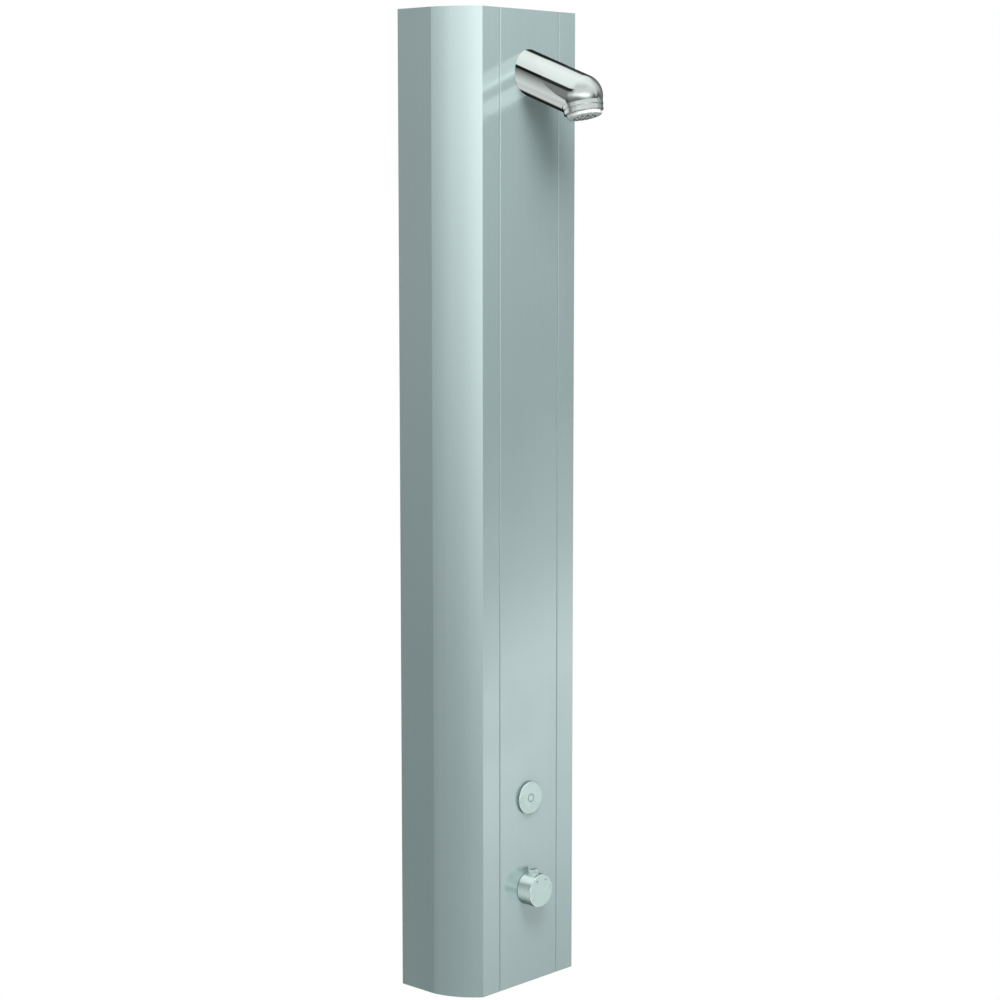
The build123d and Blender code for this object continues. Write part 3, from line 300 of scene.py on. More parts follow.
class Effects:
    """The shader groups that the finishes share, each built once."""

    def __init__(self) -> None:
        """Build every group."""
        self.groups = {
            Effect.DRAWN: self._drawn(),
            Effect.TURNED: self._turned(),
            Effect.MOULDED: self._noise("moulded skin", 3.0, 0.55),
            Effect.CAST: self._noise("cast skin", 6.0, 0.7),
            Effect.SPANGLE: self._spangle(),
        }
        self.haze = self._haze()
        # Levels of the painted reflection: the glow that the anodised front shows to mirrored rays
        self.painted_bands = surrounding("banded studio", PAINTED_BAND_COLUMNS)

    def _skin(self, name: str) -> tuple[Graph, Socket, bpy.types.Node]:
        """Start a group that breaks up a surface, with its relief and its tint as outputs."""
        return group(name, "Stretch", "NodeSocketVector", ["Height", "Tint"])

    def _finish(self, graph: Graph, out: bpy.types.Node, height: Socket, tint: Socket) -> Tree:
        """Link a group's two outputs.

        Args:
            graph: The group's graph.
            out: Its output node.
            height: Relief of the surface, 0 to 1.
            tint: How far the colour goes from its first to its second shade.

        Returns:
            The group's tree.
        """
        graph.tree.links.new(height, out.inputs["Height"])
        graph.tree.links.new(tint, out.inputs["Tint"])
        return graph.tree

    def _stretched(self, graph: Graph, stretch: Socket) -> Socket:
        """Multiply the object's coordinates by a vector."""
        place = graph.add("TexCoord").outputs["Object"]
        return graph.add("VectorMath", {0: place, 1: stretch}, operation="MULTIPLY").outputs[0]

    def _drawn(self) -> Tree:
        """Lengthwise grain: noise on coordinates that are stretched along one axis."""
        graph, stretch, out = self._skin("drawn grain")
        fine = self._stretched(graph, stretch)
        lines = graph.noise(fine, 2.0, 0.6)
        bands = graph.noise(graph.scaled(fine, 0.13), 1.0)
        tint = graph.math("MULTIPLY_ADD", lines, 0.45, graph.math("MULTIPLY", bands, 0.55))
        return self._finish(graph, out, lines, tint)

    def _turned(self) -> Tree:
        """Rings round a centre line that runs along Y: noise on the distance from that line."""
        graph, stretch, out = self._skin("turned grain")
        place = graph.add("TexCoord").outputs["Object"]
        parts = graph.add("SeparateXYZ", {0: place})
        centre = graph.add("SeparateXYZ", {0: stretch})
        across = graph.math("SUBTRACT", parts.outputs["X"], centre.outputs["X"])
        up = graph.math("SUBTRACT", parts.outputs["Z"], centre.outputs["Z"])
        radius = graph.length(across, up)
        turn = graph.math("ARCTAN2", up, across)
        rings = graph.add("CombineXYZ", {
            "X": graph.math("MULTIPLY", radius, centre.outputs["Y"]),
            "Y": graph.math("MULTIPLY", parts.outputs["Y"], centre.outputs["Y"]),
            "Z": graph.math("SINE", turn)})
        lines = graph.noise(rings.outputs[0], 2.0, 0.6)
        return self._finish(graph, out, lines, lines)

    def _noise(self, name: str, detail: float, rough: float) -> Tree:
        """Even noise in all directions.

        Args:
            name: The group's name.
            detail: Octaves of the noise.
            rough: How strong the finer octaves are.

        Returns:
            The group's tree.
        """
        graph, stretch, out = self._skin(name)
        fine = self._stretched(graph, stretch)
        patch = graph.noise(graph.scaled(fine, 0.04), 3.0)
        return self._finish(graph, out, graph.noise(fine, detail, rough),
                            graph.ramp(patch, 0.35, 0.65, 0.0, 1.0))

    def _spangle(self) -> Tree:
        """Crystals of a zinc coat: cells with their own shade, and fine noise on them."""
        graph, stretch, out = self._skin("zinc spangle")
        fine = self._stretched(graph, stretch)
        bent = graph.add("TexNoise", {"Vector": fine, "Scale": 1.7, "Detail": 2.0})
        warped = graph.add("VectorMath", {0: fine, 1: bent.outputs["Color"]}, operation="ADD")
        cells = graph.add("TexVoronoi", {"Vector": warped.outputs[0], "Scale": 1.0})
        shade = graph.add("SeparateColor", {0: cells.outputs["Color"]}).outputs[0]
        return self._finish(graph, out, bent.outputs["Fac"], shade)

    def _haze(self) -> Tree:
        """Soft cloudy film, such as handling and dried water leave, as a mask from 0 to 1."""
        graph, size, out = group("haze", "Size", "NodeSocketFloat", ["Mask"])
        place = graph.add("TexCoord").outputs["Object"]
        cloud = graph.add("TexNoise", {"Vector": place, "Scale": size, "Detail": 4.0,
                                       "Roughness": 0.62}).outputs["Fac"]
        graph.tree.links.new(graph.ramp(cloud, 0.3, 0.72, 0.0, 1.0), out.inputs["Mask"])
        return graph.tree


@dataclass(frozen=True)
class Finish:
    """One finish of the real panel.

    Attributes:
        slot: The record's material slot that it is for.
        color: First shade of the surface, in linear light.
        shade: Second shade, that the effect mixes in.
        metallic: 1 for bare metal, less where a clear oxide or lacquer covers it.
        roughness: Middle of the roughness.
        spread: How far the haze moves the roughness each way.
        effect: What breaks up the surface.
        stretch: The effect's scale per metre, or centre X, rings per metre and centre Z.
        relief: Depth of the effect's relief, in metres.
        haze: Scale of the haze, per metre.
        ior: Index of refraction.
        transmission: How much light goes through.
        subsurface: How much light scatters inside.
        painted_bands: Whether its outer front glows with painted bands to mirrored rays, a painted
            reflection that polished metal in front mirrors instead of it.
        sheen: Tint that a coloured skin gives to what it mirrors.
    """

    slot: str
    color: Triple
    shade: Triple
    metallic: float
    roughness: float
    spread: float
    effect: Effect
    stretch: Triple
    relief: float
    haze: float = 30.0
    ior: float = 1.5
    transmission: float = 0.0
    subsurface: float = 0.0
    # True where the surface glows with a painted reflection to mirrored rays
    painted_bands: bool = False
    sheen: Triple = (1.0, 1.0, 1.0)

    def material(self, effects: Effects) -> bpy.types.Material:
        """Build the material.

        Args:
            effects: The shared shader groups.

        Returns:
            The material, with colour, roughness and normal from its nodes.
        """
        made = bpy.data.materials.new(self.slot.replace("_", " ").capitalize())
        graph = cleared(made)
        skin = graph.add("Group", node_tree=effects.groups[self.effect])
        skin.inputs["Stretch"].default_value = self.stretch
        film = graph.add("Group", node_tree=effects.haze)
        film.inputs["Size"].default_value = self.haze
        color = graph.add("Mix", {"Factor": skin.outputs["Tint"]}, data_type="RGBA")
        color.inputs[MIX_FIRST].default_value = (*self.color, 1.0)
        color.inputs[MIX_LAST].default_value = (*self.shade, 1.0)
        rough = graph.ramp(film.outputs["Mask"], 0.0, 1.0, self.roughness - self.spread,
                           self.roughness + self.spread)
        bump = graph.add("Bump", {"Strength": 1.0, "Distance": self.relief,
                                  "Height": skin.outputs["Height"]})
        surface = graph.add("BsdfPrincipled", {
            "Base Color": color.outputs[MIX_RESULT], "Metallic": self.metallic, "Roughness": rough,
            "IOR": self.ior, "Specular Tint": (*self.sheen, 1.0),
            "Normal": bump.outputs["Normal"], "Transmission Weight": self.transmission,
            "Subsurface Weight": self.subsurface, "Subsurface Radius": (1.0, 1.0, 1.0),
            "Subsurface Scale": 0.003})
        out = graph.add("OutputMaterial")
        shown = surface.outputs["BSDF"]
        if self.painted_bands:
            shown = self._paint_bands(graph, effects, shown)
        made.node_tree.links.new(shown, out.inputs["Surface"])
        return made

    def _paint_bands(self, graph: Graph, effects: Effects, surface: Socket) -> Socket:
        """Paint a reflection: to mirrored rays that meet the outer front, it glows with a studio's
        bands.

        The outer front is what turns towards -Y, and the walls of the two seams.

        Args:
            graph: The material's graph.
            effects: The shared shader groups.
            surface: The finish itself.

        Returns:
            The finish, with the painted bands mixed in as a glow for those rays.
        """
        shape = graph.add("NewGeometry")
        away = graph.scaled(shape.outputs["Incoming"], -1.0)
        studio = graph.add("Group", node_tree=effects.painted_bands)
        graph.tree.links.new(away, studio.inputs["Direction"])
        facing = graph.add("SeparateXYZ", {0: shape.outputs["True Normal"]}).outputs["Y"]
        depth = graph.add("SeparateXYZ", {0: shape.outputs["Position"]}).outputs["Y"]
        gap = graph.math("MULTIPLY", graph.math("LESS_THAN", depth, SEAM_DEPTH),
                         graph.math("LESS_THAN", facing, 0.5))
        outer = graph.math("MAXIMUM", graph.math("LESS_THAN", facing, -0.05), gap)
        rays = graph.add("LightPath")
        share = graph.math("MULTIPLY", outer, rays.outputs["Is Glossy Ray"])
        # Painted reflection: an emission that only mirrored rays see, so the panel glows with bands
        # though it is no lamp
        painted_glow = graph.add("Emission", {"Color": WHITE, "Strength": studio.outputs["Level"]})
        mix = graph.add("MixShader", {0: share, 1: surface, 2: painted_glow.outputs[0]})
        return mix.outputs[0]


def linear(red: int, green: int, blue: int) -> Triple:
    """Turn a display colour of 0 to 255 into linear light."""
    share = np.array([red, green, blue]) / 255.0
    light = np.where(share <= 0.04045, share / 12.92, ((share + 0.055) / 1.055) ** 2.4)
    return tuple(float(value) for value in light)


# Both anodised finishes carry a painted reflection: to mirrored rays their outer front glows with
# painted bands
ANODISED = Finish(
    "anodised_profile", linear(140, 162, 162), linear(133, 155, 155), 0.0, 0.15, 0.02,
    Effect.DRAWN, (2600.0, 2600.0, 9.0), 0.0000012, haze=6.0, ior=3.3, painted_bands=True,
    sheen=(0.86, 1.0, 0.99))

FINISHES = (
    ANODISED,
    replace(ANODISED, slot="anodised_front"),
    Finish("stainless_fixings", linear(200, 200, 198), linear(176, 176, 174), 1.0, 0.3, 0.06,
           Effect.CAST, (4000.0, 4000.0, 4000.0), 0.000006, haze=90.0),
    Finish("galvanised_bracket", linear(190, 193, 194), linear(158, 162, 165), 0.9, 0.42, 0.1,
           Effect.SPANGLE, (260.0, 260.0, 260.0), 0.000010, haze=60.0),
    Finish("polished_chrome", linear(230, 239, 236), linear(225, 235, 232), 1.0, 0.045, 0.02,
           Effect.CAST, (160.0, 160.0, 160.0), 0.0000008, haze=25.0),
    Finish("satin_chrome", linear(210, 234, 230), linear(204, 228, 224), 0.72, 0.25, 0.03,
           Effect.TURNED, (0.0, 3500.0, -0.478), 0.0000006, haze=50.0),
    Finish("translucent_nozzle", linear(222, 234, 231), linear(212, 225, 222), 0.0, 0.22, 0.05,
           Effect.MOULDED, (1800.0, 1800.0, 1800.0), 0.000004, haze=120.0, transmission=0.15,
           subsurface=0.3),
    Finish("white_plastic", linear(228, 228, 224), linear(220, 220, 215), 0.0, 0.42, 0.05,
           Effect.MOULDED, (2600.0, 2600.0, 2600.0), 0.000010, haze=60.0),
    Finish("black_plastic", linear(44, 45, 47), linear(34, 35, 37), 0.0, 0.45, 0.08,
           Effect.MOULDED, (2600.0, 2600.0, 2600.0), 0.000014, haze=60.0),
    Finish("grey_plastic", linear(176, 180, 182), linear(168, 172, 175), 0.0, 0.5, 0.06,
           Effect.MOULDED, (1500.0, 1500.0, 1500.0), 0.000030, haze=40.0),
    Finish("brass_fitting", linear(214, 184, 122), linear(190, 152, 92), 1.0, 0.34, 0.1,
           Effect.CAST, (700.0, 700.0, 700.0), 0.000030, haze=70.0),
    Finish("copper_pipe", linear(214, 150, 118), linear(178, 112, 82), 1.0, 0.3, 0.1,
           Effect.CAST, (300.0, 300.0, 300.0), 0.000010, haze=45.0),
    Finish("dot_enamel", linear(84, 96, 96), linear(76, 88, 88), 0.0, 0.35, 0.05,
           Effect.MOULDED, (3000.0, 3000.0, 3000.0), 0.000008, haze=200.0),
    Finish("symbol_enamel", linear(104, 122, 120), linear(96, 114, 112), 0.0, 0.4, 0.05,
           Effect.MOULDED, (3000.0, 3000.0, 3000.0), 0.000008, haze=200.0),
    Finish("spring_steel", linear(184, 184, 186), linear(150, 150, 153), 1.0, 0.28, 0.05,
           Effect.CAST, (2000.0, 2000.0, 2000.0), 0.000004, haze=150.0),
    Finish("hot_spindle", linear(176, 34, 26), linear(160, 28, 22), 0.0, 0.4, 0.05,
           Effect.MOULDED, (2600.0, 2600.0, 2600.0), 0.000010, haze=90.0),
    Finish("cold_spindle", linear(28, 76, 160), linear(24, 66, 146), 0.0, 0.4, 0.05,
           Effect.MOULDED, (2600.0, 2600.0, 2600.0), 0.000010, haze=90.0),
    Finish("battery_sleeve", linear(58, 96, 116), linear(50, 86, 106), 0.0, 0.22, 0.05,
           Effect.MOULDED, (900.0, 900.0, 900.0), 0.000008, haze=60.0),
    Finish("black_cable", linear(40, 40, 42), linear(30, 30, 32), 0.0, 0.6, 0.08,
           Effect.MOULDED, (2200.0, 2200.0, 2200.0), 0.000020, haze=80.0),
)


@dataclass
class PhotoCamera:
    """The photograph's camera, solved from the panel's own edges.

    Attributes:
        position: Where it stands.
        heading: Degrees from +Y towards +X.
        pitch: Degrees below the horizontal.
        lens: Focal length in millimetres on a 36 mm sensor.
    """

    position: Triple = (-2.130875, -2.063890, 0.380251)
    heading: float = 46.778
    pitch: float = 7.296
    lens: float = 85.70

    def place(self) -> None:
        """Add the camera and make it the scene's own."""
        data = bpy.data.cameras.new("Photo camera")
        data.lens = self.lens
        data.sensor_width = 36.0
        eye = bpy.data.objects.new("Photo camera", data)
        eye.location = self.position
        eye.rotation_euler = (math.radians(90.0 - self.pitch), 0.0, -math.radians(self.heading))
        bpy.context.scene.collection.objects.link(eye)
        bpy.context.scene.camera = eye
        log.info("camera at %s", self.position)


@dataclass
class Studio:
    """Round pale floor, one soft lamp and a surrounding that metal can reflect.

    Attributes:
        floor_z: Height of the floor under the panel.
        floor_radius: The floor's radius.
        clear_from: Distance from the panel at which the floor starts to turn white.
        clear_at: Distance at which it is white.
        key_azimuth: Key lamp, degrees from -Y towards -X.
        key_height: Degrees above the horizontal.
        key_distance: Its distance from the panel's top.
        key_size: Its width.
        key_power: Its power in watts.
    """

    floor_z: float = -1.45
    floor_radius: float = 2.1
    clear_from: float = 0.4
    clear_at: float = 1.9
    key_azimuth: float = 29.0
    key_height: float = 42.0
    key_distance: float = 1.7
    key_size: float = 1.0
    key_power: float = 55.0

    def build(self) -> None:
        """Build the floor, the lamp and the world, and set the view transform."""
        self._floor()
        self._key()
        self._world()
        bpy.context.scene.view_settings.view_transform = "Standard"

    def _floor(self) -> None:
        """A disc: grey-white near the panel, and white to the camera farther out.

        Its rim is radius * (cos a, sin a) for a from 0 to a full turn.
        """
        turn = np.linspace(0.0, TURN, 96, endpoint=False)
        rim = np.stack([self.floor_radius * np.cos(turn), self.floor_radius * np.sin(turn),
                        np.full_like(turn, self.floor_z)], axis=1)
        mesh = bpy.data.meshes.new("Floor")
        mesh.from_pydata(rim.tolist(), [], [tuple(range(len(rim)))])
        ground = bpy.data.objects.new("Floor", mesh)
        bpy.context.scene.collection.objects.link(ground)
        made = bpy.data.materials.new("Studio floor")
        graph = cleared(made)
        place = graph.add("SeparateXYZ", {0: graph.add("TexCoord").outputs["Object"]})
        reach = graph.length(place.outputs["X"], place.outputs["Y"])
        clear = graph.ramp(reach, self.clear_from, self.clear_at, 0.0, 1.0)
        matt = graph.add("BsdfDiffuse", {"Color": (0.86, 0.86, 0.86, 1.0)})
        white = graph.add("Emission", {"Color": WHITE, "Strength": 1.0})
        mix = graph.add("MixShader", {0: graph.math("MULTIPLY", clear, graph.straight()),
                                      1: matt.outputs[0], 2: white.outputs[0]})
        out = graph.add("OutputMaterial")
        made.node_tree.links.new(mix.outputs[0], out.inputs["Surface"])
        mesh.materials.append(made)

    def _key(self) -> None:
        """A square lamp in front of the panel, up to its left, that aims at the head."""
        turn, rise = math.radians(self.key_azimuth), math.radians(self.key_height)
        toward = np.array([-math.sin(turn) * math.cos(rise), -math.cos(turn) * math.cos(rise),
                           math.sin(rise)])
        aim = np.array([0.0, -0.11, 0.45])
        data = bpy.data.lights.new("Key lamp", "AREA")
        data.shape = "SQUARE"
        data.size = self.key_size
        data.energy = self.key_power
        data.color = (1.0, 0.9, 0.89)
        lamp = bpy.data.objects.new("Key lamp", data)
        lamp.location = aim + toward * self.key_distance
        lamp.rotation_euler = (math.pi / 2 - rise, 0.0, -turn)
        lamp.visible_glossy = False
        bpy.context.scene.collection.objects.link(lamp)

    def _world(self) -> None:
        """White to the camera, and soft panels and dark gaps by direction to everything else."""
        world = bpy.data.worlds.new("Studio world")
        graph = cleared(world)
        way = graph.add("TexCoord").outputs["Generated"]
        around = graph.add("Group", node_tree=surrounding("studio", OPEN_COLUMNS))
        graph.tree.links.new(way, around.inputs["Direction"])
        lit = graph.add("Background", {"Color": WHITE, "Strength": around.outputs["Level"]})
        white = graph.add("Background", {"Color": WHITE, "Strength": 1.0})
        mix = graph.add("MixShader", {0: graph.straight(), 1: lit.outputs[0],
                                      2: white.outputs[0]})
        out = graph.add("OutputWorld")
        world.node_tree.links.new(mix.outputs[0], out.inputs["Surface"])
        bpy.context.scene.world = world


@dataclass
class Shape:
    """Corner points and faces of one closed form.

    Attributes:
        points: The corners, one row each, in metres.
        faces: Corner numbers of each face.
    """

    points: np.ndarray
    faces: list[tuple[int, ...]]


def grid(points: np.ndarray, capped: bool) -> Shape:
    """Join rows of points with quads; each row is a closed loop.

    Args:
        points: Rows by columns by 3.
        capped: Whether the first and the last row are filled, instead of joined.

    Returns:
        The form.
    """
    rows, columns = points.shape[:2]
    number = np.arange(rows * columns).reshape(rows, columns)
    first = number[:-1] if capped else number
    second = number[1:] if capped else np.roll(number, -1, axis=0)
    quads = np.stack([first, np.roll(first, -1, axis=1), np.roll(second, -1, axis=1), second],
                     axis=-1).reshape(-1, 4)
    faces = [tuple(quad) for quad in quads.tolist()]
    if capped:
        faces += [tuple(number[0].tolist()), tuple(number[-1].tolist())]
    return Shape(points.reshape(-1, 3), faces)


def rounded(corners: Sequence[Triple], steps: int = 5) -> np.ndarray:
    """Round the corners of a closed outline with arcs that touch both sides.

    At a corner P with unit vectors a and b along its sides, whose half angle is h, the arc of
    radius r has its centre at P + r / sin h along a + b, and starts r / tan h along a.

    Args:
        corners: First and second coordinate of each corner, and its radius.
        steps: Points of each arc.

    Returns:
        The outline's points.
    """
    spots = np.array(corners, dtype=float)
    share = np.linspace(0.0, 1.0, steps)[:, None]
    outline = []
    for index, (*_, radius) in enumerate(corners):
        spot = spots[index, :2]
        if radius == 0.0:
            outline.append(spot[None])
            continue
        back = spots[index - 1, :2] - spot
        ahead = spots[(index + 1) % len(spots), :2] - spot
        back, ahead = back / np.linalg.norm(back), ahead / np.linalg.norm(ahead)
        half = math.acos(float(np.clip(back @ ahead, -1.0, 1.0))) / 2.0
        middle = (back + ahead) / np.linalg.norm(back + ahead)
        centre = spot + middle * radius / math.sin(half)
        reach = radius / math.tan(half)
        arm = (spot + back * reach - centre) * (1.0 - share) + (spot + ahead * reach - centre) * share
        outline.append(centre + radius * arm / np.linalg.norm(arm, axis=1, keepdims=True))
    return np.concatenate(outline)


def lathe(outline: np.ndarray, origin: Sequence[float], direction: Sequence[float],
          count: int) -> Shape:
    """Turn a closed outline round an axis.

    A point (r, s) of the outline becomes origin + s * d + r * (cos t * u + sin t * v), where d is
    the axis and u and v are square to it.

    Args:
        outline: Radius and distance along the axis of each point, in millimetres.
        origin: Where the axis starts, in millimetres.
        direction: Direction of the axis.
        count: Steps round the axis.

    Returns:
        The form.
    """
    axis = np.array(direction, dtype=float)
    axis /= np.linalg.norm(axis)
    across = np.cross(axis, (0.0, 0.0, 1.0) if abs(axis[2]) < 0.9 else (1.0, 0.0, 0.0))
    across /= np.linalg.norm(across)
    other = np.cross(axis, across)
    turn = np.linspace(0.0, TURN, count, endpoint=False)[:, None]
    spokes = np.cos(turn) * across + np.sin(turn) * other
    points = (np.array(origin, dtype=float) + outline[:, None, 1:2] * axis
              + outline[:, None, 0:1] * spokes[None])
    return grid(points * MM, capped=False)


def prism(outline: np.ndarray, low: float, high: float) -> Shape:
    """Draw an outline in X and Y upwards.

    Args:
        outline: Its points, in millimetres.
        low: Lower end.
        high: Upper end.

    Returns:
        The form, closed at both ends.
    """
    ends = [np.column_stack([outline, np.full(len(outline), level)]) for level in (low, high)]
    return grid(np.array(ends) * MM, capped=True)


def pillow(half_x: float, half_y: float, corner: float, centre: tuple[float, float], low: float,
           high: float, edge: float) -> Shape:
    """An upright rounded block whose upper edge is rounded too.

    Level k of the edge is inset by e (1 - cos a) and raised by e sin a, a from 0 to 90 degrees.

    Args:
        half_x: Half its width.
        half_y: Half its depth.
        corner: Radius of its upright edges.
        centre: Its middle in X and Y.
        low: Its underside.
        high: Its top.
        edge: Radius of the upper edge.

    Returns:
        The form.
    """
    angle = np.linspace(0.0, math.pi / 2, 7)
    insets = np.concatenate([[0.0], edge * (1.0 - np.cos(angle))])
    heights = np.concatenate([[low], high - edge + edge * np.sin(angle)])
    rows = []
    for inset, height in zip(insets, heights):
        wide, deep = half_x - inset, half_y - inset
        bend = max(corner - inset, LEAST_BEND)
        flat = rounded([(-wide, -deep, bend), (wide, -deep, bend), (wide, deep, bend),
                        (-wide, deep, bend)])
        rows.append(np.column_stack([flat + centre, np.full(len(flat), height)]))
    return grid(np.array(rows) * MM, capped=True)


@dataclass(frozen=True)
class Piece:
    """Where a piece of the scene belongs.

    Attributes:
        name: Its name.
        body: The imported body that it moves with.
        slot: The record's material slot that it takes its finish from.
        stands_for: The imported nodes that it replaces.
    """

    name: str
    body: str
    slot: str
    stands_for: tuple[str, ...] = ()

    def hang(self, shapes: Sequence[Shape], materials: Materials,
             sharp: float = 35.0) -> bpy.types.Object:
        """Join forms into one object and hang it on its body.

        Args:
            shapes: The closed forms.
            materials: Material of each slot.
            sharp: Edges that turn more than this many degrees stay sharp.

        Returns:
            The object.
        """
        starts = np.cumsum([0] + [len(shape.points) for shape in shapes[:-1]])
        faces = [tuple(corner + int(start) for corner in face)
                 for shape, start in zip(shapes, starts) for face in shape.faces]
        mesh = bpy.data.meshes.new(self.name)
        mesh.from_pydata(np.concatenate([shape.points for shape in shapes]).tolist(), [], faces)
        work = bmesh.new()
        work.from_mesh(mesh)
        bmesh.ops.recalc_face_normals(work, faces=work.faces)
        work.to_mesh(mesh)
        work.free()
        mesh.shade_smooth()
        mesh.set_sharp_from_angle(angle=math.radians(sharp))
        mesh.materials.append(materials[self.slot])
        made = bpy.data.objects.new(self.name, mesh)
        bpy.context.scene.collection.objects.link(made)
        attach(made, self.body)
        if self.stands_for:
            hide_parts(*self.stands_for)
        level = made.modifiers.new("Level flats", "WEIGHTED_NORMAL")
        level.keep_sharp = True
        level.weight = 100
        log.info("%s: %d faces on %s", self.name, len(mesh.polygons), self.body)
        return made


@dataclass
class SideProfile:
    """One drawn side of the panel: flank, convex wing, front strip, lips and screw ports.

    Attributes:
        side: -1 for the left one, 1 for the right one.
        half_width: Half the panel's width.
        depth: The panel's depth.
        flank: Depth at which the flank meets the wing.
        wing_end: Where the wing meets the front strip, from the middle.
        wing_radius: The wing's radius.
        wing_centre: Its centre, from the middle and from the wall.
        seam: The strip's edge at the seam, from the middle.
        wall: Thickness.
        lip: Inner edge of the lip on the wall.
        seat: Inner edge of the lip under the front plate.
        half_height: Half the panel's height.
        inset: How far the lips and ports stop short of the ends.
        port_radius: Radius of a screw port.
        port_hole: Radius of its hole.
        root: How far the lip under the plate reaches behind the strip.
        root_start: Where its raised part starts, outwards from the seam.
        root_sunk: How far that part is sunk into the strip.
        steps: Points of a wing arc.
        ports: Place of each port, from the middle and from the wall.
    """

    side: int
    half_width: float = 113.0
    depth: float = 110.0
    flank: float = 56.0
    wing_end: float = 81.75
    wing_radius: float = 88.0
    wing_centre: tuple[float, float] = (26.16, 41.79)
    seam: float = 52.6
    wall: float = 2.0
    lip: float = 98.0
    seat: float = 42.0
    half_height: float = 600.0
    inset: float = 3.0
    port_radius: float = 5.0
    port_hole: float = 1.95
    root: float = 5.4
    root_start: float = 0.8
    root_sunk: float = 1.0
    steps: int = 42
    ports: tuple[tuple[float, float], ...] = ((106.6, 22.0), (70.0, 103.6))

    def _arc(self, radius: float, start: float, end: float) -> np.ndarray:
        """Points of a wing arc, as centre + radius * (cos a, sin a).

        Args:
            radius: Its radius.
            start: Distance from the wall where it starts.
            end: Distance where it ends.

        Returns:
            The points without the two ends, from the middle and from the wall.
        """
        across, out = self.wing_centre
        turn = np.linspace(math.asin((start - out) / radius), math.asin((end - out) / radius),
                           self.steps)
        return np.column_stack([across + radius * np.cos(turn), out + radius * np.sin(turn)])[1:-1]

    def _section(self) -> np.ndarray:
        """The drawn section, from the middle and from the wall, with its edges rounded."""
        thin, inner = self.wall, self.wing_radius - self.wall
        face = self.depth - thin
        bend = self.wing_centre[1] + math.sqrt(
            inner**2 - (self.half_width - thin - self.wing_centre[0])**2)
        outer = [(*spot, 0.0) for spot in self._arc(self.wing_radius, self.flank, self.depth)]
        back = [(*spot, 0.0) for spot in self._arc(inner, bend, face)[::-1]]
        turn_in = self.wing_centre[0] + math.sqrt(inner**2 - (face - self.wing_centre[1])**2)
        return rounded([
            (self.half_width, 0.0, 0.3), (self.half_width, self.flank, 1.2), *outer,
            (self.wing_end, self.depth, 0.6), (self.seam, self.depth, 0.5),
            (self.seam, face, 0.0), (turn_in, face, 0.0), *back,
            (self.half_width - thin, bend, 0.0), (self.half_width - thin, thin, 0.4),
            (self.lip, thin, 0.3), (self.lip, 0.0, 0.3)])

    def build(self, materials: Materials) -> None:
        """Build the profile and hang it on the panel.

        Args:
            materials: Material of each slot.
        """
        flip = np.array([self.side, -1.0])
        top = self.half_height - self.inset
        face = self.depth - self.wall
        under, sunk = face - self.wall, face + self.root_sunk
        end, start = self.seam + self.root, self.seam + self.root_start
        lip = np.array([(self.seat, face), (self.seat, under), (end, under), (end, sunk),
                        (start, sunk), (start, face)])
        shapes = [prism(self._section() * flip, -self.half_height, self.half_height),
                  prism(lip * flip, -top, top)]
        bore = np.array([(self.port_hole, -top), (self.port_radius, -top), (self.port_radius, top),
                         (self.port_hole, top)])
        for across, out in self.ports:
            shapes.append(lathe(bore, (self.side * across, -out, 0.0), (0.0, 0.0, 1.0), 32))
        name = "left" if self.side < 0 else "right"
        Piece(f"{name}_profile", "panel", "anodised_profile",
              (f"{name}_side_profile",)).hang(shapes, materials, 8.0)


@dataclass
class HeadRing:
    """The chrome ring under the ball nose: two bands, a groove and the cup for the insert.

    Attributes:
        centre: Middle of the ball nose.
        lean: The outlet's lean from straight down, in degrees.
        seat: Where the ring meets the ball, from its middle along the outlet.
        radius: The upper band's radius.
        band: The upper band's height.
        groove: The groove's height.
        groove_depth: Its depth.
        step: How much smaller the lower band is.
        second: The lower band's height.
        neck: Radius of the threaded neck in the head.
        neck_length: Its length.
        neck_wall: Its wall.
        floor: Thickness of the cup's floor.
        cup: The cup's radius.
    """

    centre: Triple = (0.0, -191.94, 495.88)
    lean: float = 13.5
    seat: float = 9.0
    radius: float = 24.4
    band: float = 5.0
    groove: float = 1.0
    groove_depth: float = 1.8
    step: float = 0.8
    second: float = 5.2
    neck: float = 13.8
    neck_length: float = 7.0
    neck_wall: float = 2.4
    floor: float = 3.0
    cup: float = 21.3

    def axis(self) -> Triple:
        """Direction of the outlet."""
        lean = math.radians(self.lean)
        return (0.0, -math.sin(lean), -math.cos(lean))

    def build(self, materials: Materials) -> None:
        """Build the ring with rounded edges and hang it on the panel.

        Args:
            materials: Material of each slot.
        """
        band_end = self.seat + self.band
        second_start = band_end + self.groove
        end = second_start + self.second
        low = self.radius - self.step
        bore = self.neck - self.neck_wall
        root = self.radius - self.groove_depth
        outline = rounded([
            (bore, self.seat - self.neck_length, 0.2), (self.neck, self.seat - self.neck_length, 0.4),
            (self.neck, self.seat, 0.1), (self.radius, self.seat, 0.45),
            (self.radius, band_end, 0.45), (root, band_end, 0.1), (root, second_start, 0.1),
            (low, second_start, 0.35), (low, end, 0.8), (self.cup, end, 0.3),
            (self.cup, self.seat + self.floor, 0.2), (bore, self.seat + self.floor, 0.2)])
        Piece("ring_bands", "panel", "polished_chrome", ("head_ring",)).hang(
            [lathe(outline, self.centre, self.axis(), 128)], materials, 50.0)


